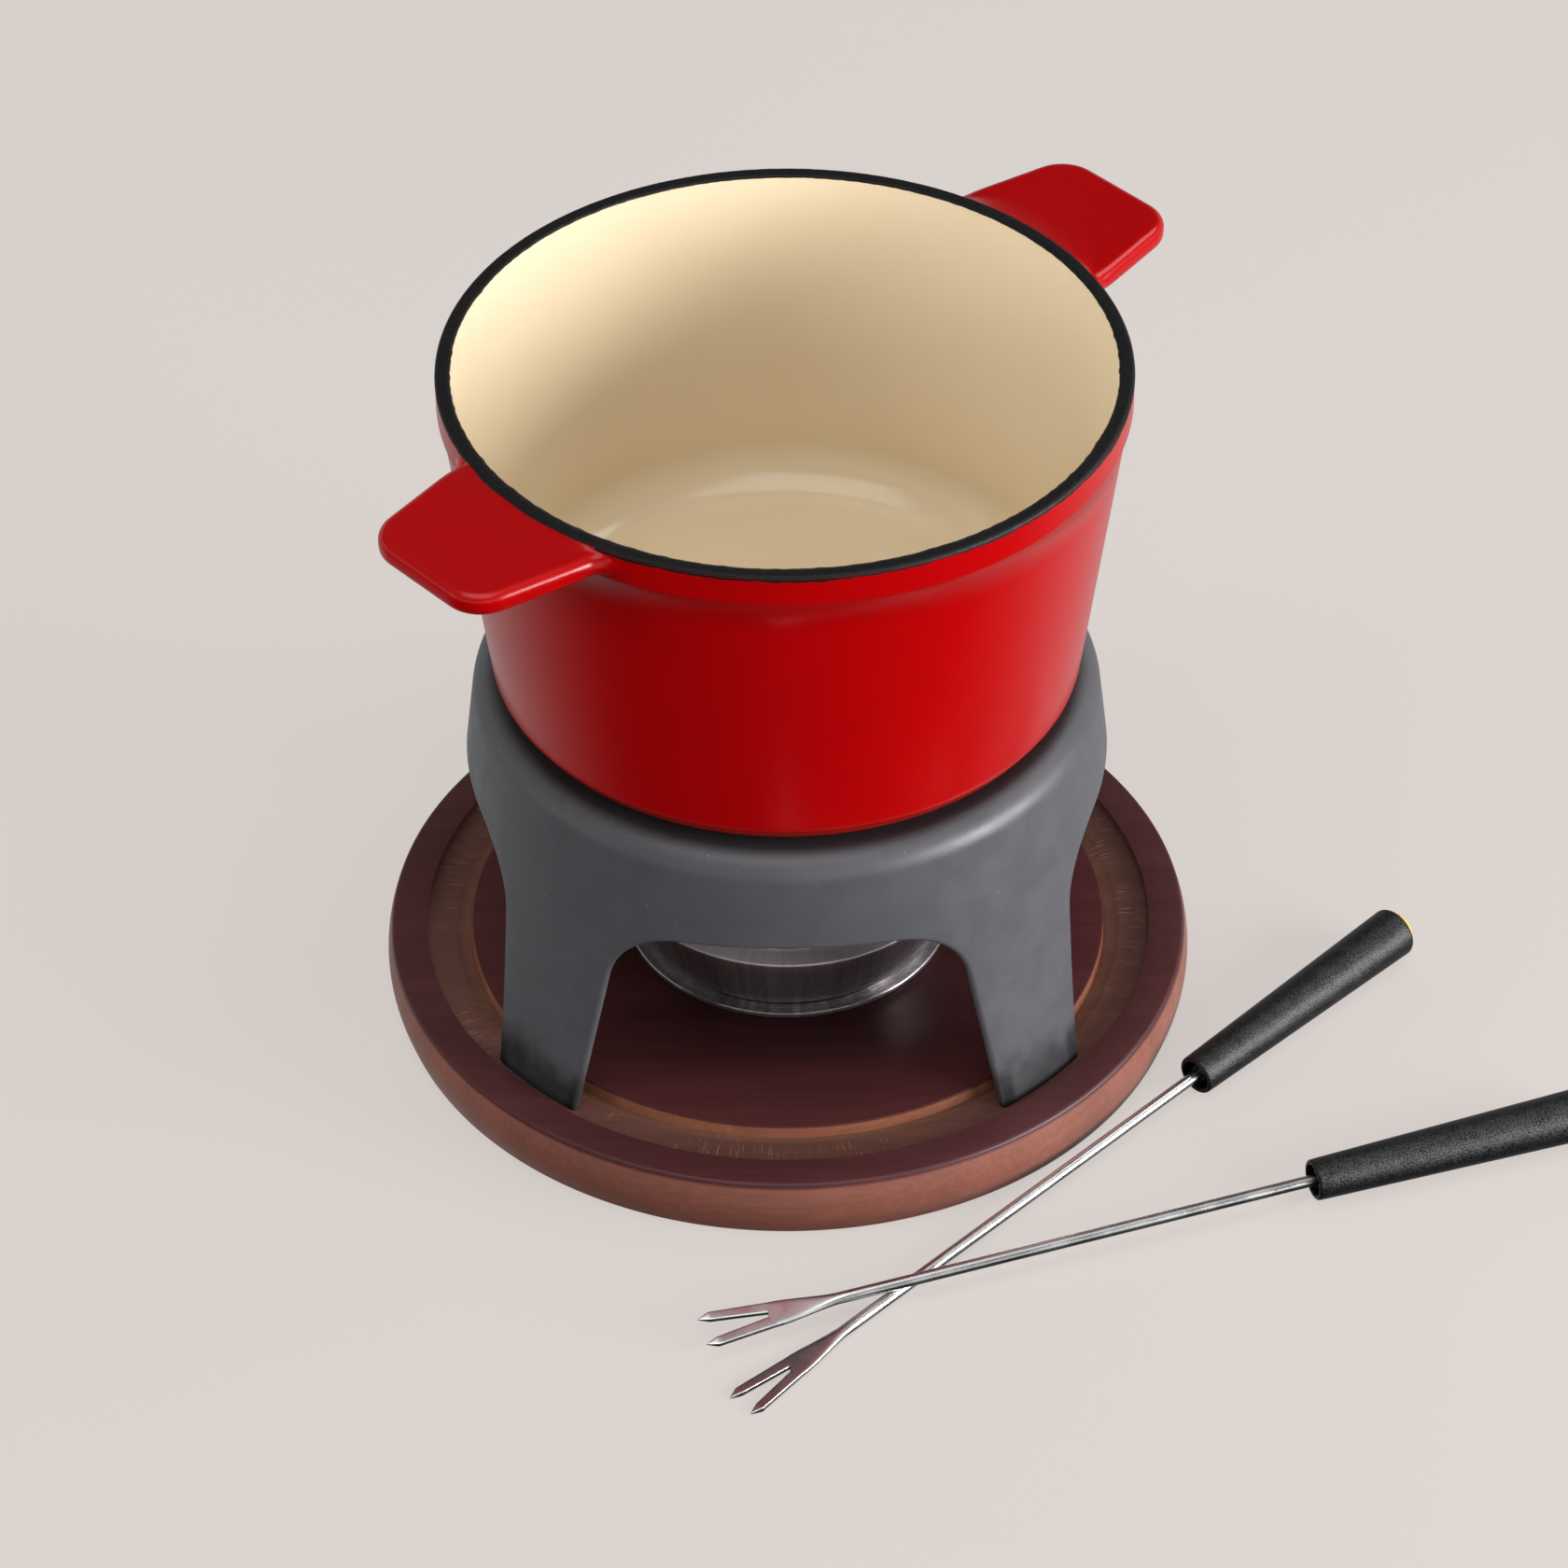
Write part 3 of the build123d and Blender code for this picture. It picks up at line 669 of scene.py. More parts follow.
class Paints:
    """Every material, made once and handed out by slot name."""

    def __init__(self) -> None:
        """Makes the shared effects and the materials."""
        effects = Effects()
        finishes = (
            RedEnamel("red_enamel", (0.35, 0.0003, 0.0010, 1.0), 0.22, specular=0.36),
            CreamEnamel("cream_enamel", (0.77, 0.645, 0.455, 1.0), 0.16, specular=0.5),
            MattEnamel(
                "black_enamel", (0.006, 0.0055, 0.006, 1.0), 0.46, specular=0.22, grain_size=0.8,
                grain_depth=0.6, speck_pitch=1.3),
            MattEnamel("grey_enamel", (0.068, 0.068, 0.076, 1.0), 0.40, specular=0.45, dark_below=19.0),
            StainedWood("stained_wood", (0.060, 0.016, 0.017, 1.0), 0.42, specular=0.36),
            SpunSteel("stainless", (0.66, 0.63, 0.65, 1.0), 0.19, 0.94),
            SpunSteel("brushed_plate", (0.66, 0.60, 0.62, 1.0), 0.46, 0.45, streak=0.1),
            DrawnSteel("steel_gauze", (0.42, 0.41, 0.40, 1.0), 0.32, 1.0),
            DrawnSteel("polished_steel", (0.66, 0.66, 0.66, 1.0), 0.26, 1.0),
            SparkPlastic("black_plastic", (0.004, 0.004, 0.0045, 1.0), 0.40, grain_size=0.42),
            Finish("yellow_plastic", (0.90, 0.50, 0.004, 1.0), 0.28),
            Finish("blue_plastic", (0.02, 0.11, 0.46, 1.0), 0.28),
            FibreWadding("wadding", (0.78, 0.76, 0.70, 1.0), 0.95),
        )
        self.by_slot = {finish.name: finish.make(effects) for finish in finishes}

    def __getitem__(self, slot: str) -> bpy.types.Material:
        """Gives the material of a slot."""
        return self.by_slot[slot]


# ---------------------------------------------------------------- mesh building
class Bench:
    """Mesh making that several sub-assemblies share."""

    def __init__(self, paints: Paints) -> None:
        """Keeps the paints and builds the Geometry Nodes trees.

        Args:
            paints: the materials.
        """
        self.paints = paints
        self.lathe = self._lathe()
        self.ring_cut = self._ring_cut()
        self.weave = self._weave()
        self.ribs = self._ribs()

    def _lathe(self) -> bpy.types.NodeTree:
        """Builds the tree that turns a profile, with radius in X and height in Z, round the Z axis.

        Returns:
            The tree.
        """
        inputs = {
            "Profile": (Kind.MESH, None), "Points": (Kind.INT, 8), "Segments": (Kind.INT, 128),
            "Finish": (Kind.MATERIAL, None)}
        g = new_group("Turned piece", False, inputs, {"Geometry": Kind.MESH})
        points = g.given("Points")
        segments = g.given("Segments")
        grid = g.node("GeometryNodeMeshGrid", {
            "Size X": 1.0, "Size Y": 1.0, "Vertices X": g.plus(segments, 1.0), "Vertices Y": points})
        index = g.node("GeometryNodeInputIndex").outputs[0]
        column = g.math("FLOOR", g.over(g.plus(index, 0.5), points))
        row = g.math("SUBTRACT", index, g.times(column, points))
        place = g.node("GeometryNodeInputPosition").outputs[0]
        sample = g.node("GeometryNodeSampleIndex", data_type="FLOAT_VECTOR", domain="POINT")
        g.put(sample.inputs[0], g.given("Profile"))
        g.put(sample.inputs[1], place)
        g.put(sample.inputs["Index"], row)
        profile = g.axes(sample.outputs[0])
        angle = g.over(g.times(column, math.tau), segments)
        at = g.vector({
            0: g.times(profile[0], g.math("COSINE", angle)),
            1: g.times(profile[0], g.math("SINE", angle)),
            2: profile[2]})
        turned = g.node("GeometryNodeSetPosition", {"Geometry": grid.outputs[0], "Position": at})
        merged = g.node("GeometryNodeMergeByDistance", {"Geometry": turned.outputs[0], "Distance": 1e-6})
        self._finish_tree(g, merged.outputs[0])
        return g.tree

    def _finish_tree(self, g: Tree, made: bpy.types.NodeSocket) -> None:
        """Ends a tree with Realize Instances and Set Material.

        Args:
            g: the tree.
            made: its geometry so far.
        """
        real = g.node("GeometryNodeRealizeInstances", {0: made})
        painted = g.node("GeometryNodeSetMaterial", {
            "Geometry": real.outputs[0], "Material": g.given("Finish")})
        g.put(g.output.inputs[0], painted.outputs[0])

    def _ring_cut(self) -> bpy.types.NodeTree:
        """Builds the tree that cuts a ring of slots through a plate.

        Returns:
            The tree.
        """
        inputs = {
            "Plate": (Kind.MESH, None), "Cutter": (Kind.OBJECT, None), "Count": (Kind.INT, 12),
            "Ring radius": (Kind.FLOAT, 0.035),
            "Height": (Kind.FLOAT, 0.04), "Turn": (Kind.FLOAT, 0.0), "Finish": (Kind.MATERIAL, None)}
        g = new_group("Ring of slots", False, inputs, {"Geometry": Kind.MESH})
        ring = g.node("GeometryNodeMeshCircle", {
            "Vertices": g.given("Count"), "Radius": g.given("Ring radius")})
        turn = g.vector({2: g.given("Turn")})
        lift = g.vector({2: g.given("Height")})
        placed = g.node("GeometryNodeTransform", {
            "Geometry": ring.outputs[0], "Translation": lift, "Rotation": turn})
        axes = g.axes(g.node("GeometryNodeInputPosition").outputs[0])
        heading = g.math("ARCTAN2", axes[1], axes[0])
        rotation = g.vector({2: heading})
        cutter = g.node("GeometryNodeObjectInfo", {"Object": g.given("Cutter")})
        slots = g.node("GeometryNodeInstanceOnPoints", {
            "Points": placed.outputs[0], "Instance": cutter.outputs["Geometry"], "Rotation": rotation})
        real = g.node("GeometryNodeRealizeInstances", {0: slots.outputs[0]})
        cut = g.node("GeometryNodeMeshBoolean", operation="DIFFERENCE", solver="EXACT")
        g.put(cut.inputs[0], g.given("Plate"))
        g.put(cut.inputs[1], real.outputs[0])
        self._finish_tree(g, cut.outputs[0])
        return g.tree

    def _weave(self) -> bpy.types.NodeTree:
        """Builds the tree that lays two crossing sets of waved wires inside a disc.

        Returns:
            The tree.
        """
        inputs = {
            "Wires": (Kind.MESH, None), "Radius": (Kind.FLOAT, 0.038), "Pitch": (Kind.FLOAT, 0.0012),
            "Wire radius": (Kind.FLOAT, 0.00018),
            "Height": (Kind.FLOAT, 0.034), "Finish": (Kind.MATERIAL, None)}
        g = new_group("Woven gauze", False, inputs, {"Geometry": Kind.MESH})
        join = g.node("GeometryNodeJoinGeometry")
        count = g.math("FLOOR", g.over(g.times(g.given("Radius"), 2.0), g.given("Pitch")))
        for way in (0, 1):
            start = g.vector({way: g.times(g.given("Radius"), -0.985)})
            step = g.vector({way: g.given("Pitch")})
            rows = g.node(
                "GeometryNodeMeshLine", {"Count": count, "Start Location": start, "Offset": step},
                mode="OFFSET")
            axes = g.axes(g.node("GeometryNodeInputPosition").outputs[0])
            away = g.over(axes[way], g.given("Radius"))
            half = g.math("SQRT", g.math("MAXIMUM", g.math("SUBTRACT", 1.0, g.times(away, away)), 0.0004))
            size = g.vector({way: 1.0, 1 - way: g.times(half, g.times(g.given("Radius"), 2.0)), 2: 1.0})
            unit_start = g.vector({1 - way: -0.5})
            unit_end = g.vector({1 - way: 0.5})
            line = g.node("GeometryNodeCurvePrimitiveLine", {"Start": unit_start, "End": unit_end})
            dense = g.node("GeometryNodeResampleCurve", {"Curve": line.outputs[0], "Count": 120})
            rods = g.node("GeometryNodeInstanceOnPoints", {
                "Points": rows.outputs[0], "Instance": dense.outputs[0], "Scale": size})
            real = g.node("GeometryNodeRealizeInstances", {0: rods.outputs[0]})
            place = g.axes(g.node("GeometryNodeInputPosition").outputs[0])
            turn = g.over(math.pi, g.given("Pitch"))
            phase = g.plus(g.times(place[0], turn), g.times(place[1], turn))
            sign = 1.0 if way else -1.0
            wave = g.times(g.math("COSINE", phase), g.times(g.given("Wire radius"), sign))
            lift = g.vector({2: g.plus(g.given("Height"), wave)})
            waved = g.node("GeometryNodeSetPosition", {"Geometry": real.outputs[0], "Offset": lift})
            ring = g.node("GeometryNodeCurvePrimitiveCircle", {
                "Resolution": 4, "Radius": g.given("Wire radius")})
            wires = g.node("GeometryNodeCurveToMesh", {
                "Curve": waved.outputs[0], "Profile Curve": ring.outputs[0]})
            g.tree.links.new(wires.outputs[0], join.inputs[0])
        g.tree.links.new(g.given("Wires"), join.inputs[0])
        self._finish_tree(g, join.outputs[0])
        return g.tree

    def _ribs(self) -> bpy.types.NodeTree:
        """Builds the tree that adds a ring of radial ribs inside a hollow piece.

        Returns:
            The tree.
        """
        inputs = {
            "Piece": (Kind.MESH, None), "Count": (Kind.INT, 6), "Inner radius": (Kind.FLOAT, 0.002),
            "Outer radius": (Kind.FLOAT, 0.004),
            "Thickness": (Kind.FLOAT, 0.0007), "Front": (Kind.FLOAT, 0.0), "Back": (Kind.FLOAT, 0.008),
            "Finish": (Kind.MATERIAL, None)}
        g = new_group("Ring of ribs", False, inputs, {"Geometry": Kind.MESH})
        inner, outer = g.given("Inner radius"), g.given("Outer radius")
        front, back = g.given("Front"), g.given("Back")
        ring = g.node("GeometryNodeMeshCircle", {
            "Vertices": g.given("Count"), "Radius": g.times(g.plus(inner, outer), 0.5)})
        lift = g.vector({2: g.times(g.plus(front, back), 0.5)})
        placed = g.node("GeometryNodeTransform", {"Geometry": ring.outputs[0], "Translation": lift})
        axes = g.axes(g.node("GeometryNodeInputPosition").outputs[0])
        heading = g.vector({2: g.math("ARCTAN2", axes[1], axes[0])})
        size = g.vector({
            0: g.math("SUBTRACT", outer, inner), 1: g.given("Thickness"),
            2: g.math("SUBTRACT", back, front)})
        rib = g.node("GeometryNodeMeshCube", {"Size": size})
        ribs = g.node("GeometryNodeInstanceOnPoints", {
            "Points": placed.outputs[0], "Instance": rib.outputs[0], "Rotation": heading})
        join = g.node("GeometryNodeJoinGeometry")
        g.tree.links.new(ribs.outputs[0], join.inputs[0])
        g.tree.links.new(g.given("Piece"), join.inputs[0])
        self._finish_tree(g, join.outputs[0])
        return g.tree

    @staticmethod
    def link(name: str, mesh: bpy.types.Mesh) -> bpy.types.Object:
        """Puts a mesh in the scene as an object at the origin.

        Args:
            name: the object's name.
            mesh: its mesh.

        Returns:
            The object.
        """
        made = bpy.data.objects.new(name, mesh)
        bpy.context.scene.collection.objects.link(made)
        return made

    def run(
            self, name: str, base: bpy.types.Object, tree: bpy.types.NodeTree,
            values: dict[str, object]) -> bpy.types.Object:
        """Runs a tree on an object and keeps the result as a plain mesh.

        Args:
            name: the new piece's name.
            base: the object that the tree starts from; it is removed.
            tree: the Geometry Nodes tree.
            values: the tree's inputs by name.

        Returns:
            The new piece, welded and with its faces pointing outwards.
        """
        modifier = base.modifiers.new("Shape", "NODES")
        modifier.node_group = tree
        for item in tree.interface.items_tree:
            if item.item_type == "SOCKET" and item.in_out == "INPUT" and item.name in values:
                modifier[item.identifier] = values[item.name]
        base.update_tag()
        bpy.context.view_layer.update()
        evaluated = base.evaluated_get(bpy.context.evaluated_depsgraph_get())
        mesh = bpy.data.meshes.new_from_object(evaluated)
        bpy.data.objects.remove(base)
        mesh.name = name
        self.tidy(mesh)
        return self.link(name, mesh)

    @staticmethod
    def tidy(mesh: bpy.types.Mesh, weld: float = 1e-6, outward: bool = True) -> None:
        """Welds doubles and turns the faces outwards.

        Args:
            mesh: the mesh to tidy.
            weld: points nearer than this, in metres, become one.
            outward: recalculate the normals.
        """
        b = bmesh.new()
        b.from_mesh(mesh)
        bmesh.ops.remove_doubles(b, verts=b.verts, dist=weld)
        bmesh.ops.dissolve_degenerate(b, edges=b.edges, dist=weld)
        if outward:
            bmesh.ops.recalc_face_normals(b, faces=b.faces)
        b.to_mesh(mesh)
        b.free()

    @staticmethod
    def smooth(piece: bpy.types.Object, angle: float = 30.0) -> None:
        """Shades a piece smooth, with edges over `angle` degrees left sharp."""
        piece.data.polygons.foreach_set("use_smooth", [True] * len(piece.data.polygons))
        piece.data.set_sharp_from_angle(angle=math.radians(angle))

    def turn(
            self, name: str, slot: str, profile: Sequence[tuple[float, float]], segments: int = 192,
            angle: float = 30.0) -> bpy.types.Object:
        """Turns a profile round the Z axis.

        Args:
            name: the piece's name.
            slot: its material slot.
            profile: (radius, height) points in millimetres.
            segments: steps round the axis.
            angle: sharper edges than this stay sharp.

        Returns:
            The turned piece.
        """
        mesh = bpy.data.meshes.new(name + "_profile")
        mesh.from_pydata(
            [(r * MM, 0.0, z * MM) for r, z in profile], [(i, i + 1) for i in range(len(profile) - 1)], [])
        base = self.link(name + "_profile", mesh)
        values = {"Points": len(profile), "Segments": segments, "Finish": self.paints[slot]}
        piece = self.run(name, base, self.lathe, values)
        self.smooth(piece, angle)
        return piece

    def cut_ring(
            self, plate: bpy.types.Object, slot: str, size: tuple[float, float, float], ring: float,
            count: int, height: float, turn: float) -> bpy.types.Object:
        """Cuts a ring of round-ended slots through a plate.

        Args:
            plate: the plate; it is replaced.
            slot: its material slot.
            size: slot length, width and cutter depth in millimetres.
            ring: radius of the slots' middles.
            count: how many slots.
            height: height of the cutters' middles.
            turn: degrees the ring is turned.

        Returns:
            The slotted plate.
        """
        name = plate.name
        plate.name = name + "_blank"
        length, width, depth = size
        half = (length - width) / 2
        outline = []
        for side in (1, -1):
            for k in range(9):
                a = math.radians(-90 + 180 * k / 8) + (0 if side > 0 else math.pi)
                outline.append((side * half + width / 2 * math.cos(a), width / 2 * math.sin(a)))
        cutter_mesh = bpy.data.meshes.new("slot_cutter")
        n = len(outline)
        points = [(x * MM, y * MM, z * MM) for z in (-depth / 2, depth / 2) for x, y in outline]
        sides = [(i, (i + 1) % n, n + (i + 1) % n, n + i) for i in range(n)]
        cutter_mesh.from_pydata(points, [], sides + [tuple(range(n - 1, -1, -1)), tuple(range(n, 2 * n))])
        cutter = self.link("slot_cutter", cutter_mesh)
        values = {
            "Cutter": cutter, "Count": count, "Ring radius": ring * MM, "Height": height * MM,
            "Turn": math.radians(turn), "Finish": self.paints[slot]}
        piece = self.run(name, plate, self.ring_cut, values)
        bpy.data.objects.remove(cutter)
        self.smooth(piece, 35.0)
        return piece

    def sweep_grid(
            self, name: str, slot: str, grid: np.ndarray, close: bool = True,
            angle: float = 35.0) -> bpy.types.Object:
        """Makes a mesh from a grid of points.

        Args:
            name: the piece's name.
            slot: its material slot.
            grid: columns x rows x 3, in millimetres.
            close: join the last column to the first.
            angle: sharper edges than this stay sharp.

        Returns:
            The piece.
        """
        columns, rows, _ = grid.shape
        index = np.arange(columns * rows).reshape(columns, rows)
        nxt = np.roll(index, -1, axis=0)
        a, b = (index, nxt) if close else (index[:-1], nxt[:-1])
        quads = np.stack([a[:, :-1], b[:, :-1], b[:, 1:], a[:, 1:]], axis=-1).reshape(-1, 4)
        mesh = bpy.data.meshes.new(name)
        mesh.from_pydata((grid.reshape(-1, 3) * MM).tolist(), [], quads.tolist())
        mesh.materials.append(self.paints[slot])
        self.tidy(mesh, 2e-6)
        piece = self.link(name, mesh)
        self.smooth(piece, angle)
        return piece

    def join(self, piece: bpy.types.Object, others: Sequence[bpy.types.Object], angle: float) -> None:
        """Adds other pieces' meshes to a piece, and removes those pieces.

        Args:
            piece: the piece that is kept.
            others: the pieces that become part of it.
            angle: sharper edges than this stay sharp.
        """
        b = bmesh.new()
        b.from_mesh(piece.data)
        for other in others:
            b.from_mesh(other.data)
            bpy.data.objects.remove(other)
        b.to_mesh(piece.data)
        b.free()
        self.smooth(piece, angle)

    def copy_node(self, node: str, slot: str, angle: float = 28.0) -> bpy.types.Object:
        """Copies a CAD node as a welded, smooth-shaded piece that stands for it.

        Args:
            node: the CAD node.
            slot: its material slot.
            angle: sharper edges than this stay sharp.

        Returns:
            The copy.
        """
        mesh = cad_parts[node].data.copy()
        mesh.materials.clear()
        mesh.materials.append(self.paints[slot])
        self.tidy(mesh, 1e-6, outward=False)
        piece = self.link(node + "_shown", mesh)
        self.smooth(piece, angle)
        return piece

    def mount(self, piece: bpy.types.Object, body: str, slot: str, *nodes: str) -> None:
        """Fixes a piece to its body and reports it.

        Args:
            piece: the finished piece.
            body: the CAD body it moves with.
            slot: the record's material slot; not used.
            *nodes: the CAD nodes it stands for.
        """
        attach(piece, body)
        if nodes:
            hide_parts(*nodes)
        LOG.info("%-22s on %-10s %7d faces", piece.name, body, len(piece.data.polygons))


def arc(
        centre: tuple[float, float], radius: float, start: float, end: float,
        steps: int) -> list[tuple[float, float]]:
    """Points of an arc in the (radius, height) plane.

    Args:
        centre: the arc's centre.
        radius: its radius.
        start: start angle in degrees, 0 pointing outwards and 90 up.
        end: end angle in degrees.
        steps: how many steps.

    Returns:
        The points, both ends included.
    """
    turns = [math.radians(start + (end - start) * k / steps) for k in range(steps + 1)]
    return [(centre[0] + radius * math.cos(t), centre[1] + radius * math.sin(t)) for t in turns]


def straight(start: tuple[float, float], end: tuple[float, float], steps: int) -> list[tuple[float, float]]:
    """Points of a straight line in the (radius, height) plane.

    Args:
        start: where it starts; this point is left out.
        end: where it ends.
        steps: how many steps.

    Returns:
        The points after the start.
    """
    across, up = end[0] - start[0], end[1] - start[1]
    return [(start[0] + across * k / steps, start[1] + up * k / steps) for k in range(1, steps + 1)]


def around(radius: np.ndarray | float, headings: np.ndarray, height: np.ndarray | float) -> np.ndarray:
    """Points about the Z axis.

    Args:
        radius: distance from the axis, for each point or for all.
        headings: directions in radians.
        height: height, for each point or for all.

    Returns:
        The points, with x, y and z along the last axis.
    """
    parts = np.broadcast_arrays(radius * np.cos(headings), radius * np.sin(headings), height)
    return np.stack(parts, axis=-1)


# ---------------------------------------------------------------- wooden base
@dataclass
class WoodenBase:
    """Turned tray with a groove that keeps the stand's legs in."""

    bench: Bench
    thickness: float = 18.0
    top_radius: float = 109.8
    bulge: float = 1.7
    foot_tuck: float = 0.5
    edge: float = 1.0
    groove_outer: float = 100.1
    landing_inner: float = 92.1
    landing_depth: float = 2.4
    middle_radius: float = 87.6
    groove_depth: float = 3.9

    def profile(self) -> list[tuple[float, float]]:
        """Outline from the middle of the top, round the outside, to the middle of the underside.

        Returns:
            (radius, height) points in millimetres.
        """
        top = self.thickness
        landing = top - self.landing_depth
        soft = 0.35
        line = [(0.0, top), (30.0, top), (60.0, top)]
        line += arc((self.middle_radius - soft, top - soft), soft, 90, 0, 4)
        line += [
            (self.middle_radius, top - self.groove_depth + 0.2),
            (self.middle_radius + 0.2, top - self.groove_depth)]
        line += [
            (self.landing_inner - 0.3, landing - 0.1), (self.landing_inner + 0.5, landing),
            (self.groove_outer - 0.4, landing)]
        line += [(self.groove_outer, landing + 0.4)]
        line += arc((self.groove_outer + soft, top - soft), soft, 180, 90, 4)
        line += arc((self.top_radius - self.edge + 0.25, top - self.edge), self.edge, 90, 12, 6)
        for k in range(1, 16):
            share = k / 16
            z = (top - self.edge) * (1 - share) + self.edge * share
            lean = self.top_radius - self.foot_tuck * share
            line.append((lean + self.bulge * 4 * share * (1 - share) * 0.94 + 0.25 * (1 - share), z))
        line += arc((self.top_radius - self.foot_tuck - self.edge + 0.1, self.edge), self.edge, -10, -90, 5)
        line += [(60.0, 0.0), (0.0, 0.0)]
        return line

    def build(self) -> None:
        """Makes the base and mounts it."""
        piece = self.bench.turn("wooden_base_shown", "stained_wood", self.profile(), 256, 50.0)
        self.bench.mount(piece, "base", "stained_wood", "wooden_base")


# ---------------------------------------------------------------- stand
@dataclass
class Stand:
    """Grey enamelled casting; its CAD shape has every edge rounded, so it is shown smooth-shaded."""

    bench: Bench

    def build(self) -> None:
        """Dresses the stand and mounts it."""
        piece = self.bench.copy_node("stand", "grey_enamel", 32.0)
        self.bench.mount(piece, "stand", "grey_enamel", "stand")


# ---------------------------------------------------------------- pot
@dataclass
class Lug:
    """Plan of one lug handle, with X outwards along its middle."""

    band_radius: float = 90.0
    reach: float = 33.2
    root_half: float = 26.8
    end_half: float = 20.4
    corner: float = 11.0
    root_fillet: float = 9.0

    def __post_init__(self) -> None:
        """Works out the side line, the corner's centre and the root fillet's centre."""
        self.end = self.band_radius + self.reach
        lean = math.atan2(self.root_half - self.end_half, self.reach)
        self.normal = np.array([math.sin(lean), math.cos(lean)])
        self.along = np.array([math.cos(lean), -math.sin(lean)])
        self.side = float(self.normal @ np.array([self.end, self.end_half]))
        inner_x = self.end - self.corner
        self.corner_at = np.array([
            inner_x, (self.side - self.corner - inner_x * self.normal[0]) / self.normal[1]])
        away = self.side + self.root_fillet
        out = math.sqrt((self.band_radius + self.root_fillet) ** 2 - away ** 2)
        self.fillet_at = self.normal * away + self.along * out
        self.half_angle = math.atan2(self.fillet_at[1], self.fillet_at[0])

    def inside(self, x: np.ndarray, y: np.ndarray) -> np.ndarray:
        """Distance from the lug's outline, positive inside it.

        Args:
            x: distances out along the lug's middle.
            y: distances to its side.

        Returns:
            The distances, in millimetres.
        """
        y = np.abs(y)
        p = np.stack([x, y], axis=-1)
        to_end = self.end - x
        to_side = self.side - p @ self.normal
        q = p - self.corner_at
        rounded = (q[..., 1] > 0) & (q @ self.along > 0)
        near = np.where(rounded, self.corner - np.linalg.norm(q, axis=-1), np.minimum(to_end, to_side))
        root = np.linalg.norm(p - self.fillet_at, axis=-1) - self.root_fillet
        return np.where(p @ self.along < float(self.fillet_at @ self.along), np.minimum(root, to_end), near)

    def outline(self, turn: float) -> float:
        """Radius of the lug's outline in the direction `turn` from its middle.

        Args:
            turn: angle in radians.

        Returns:
            The radius, or the band's radius where there is no lug.
        """
        if abs(turn) >= self.half_angle:
            return self.band_radius
        low, high = self.band_radius, self.end + self.corner
        for _ in range(40):
            middle = (low + high) / 2
            if self.inside(np.array(middle * math.cos(turn)), np.array(middle * math.sin(turn))) > 0:
                low = middle
            else:
                high = middle
        return low


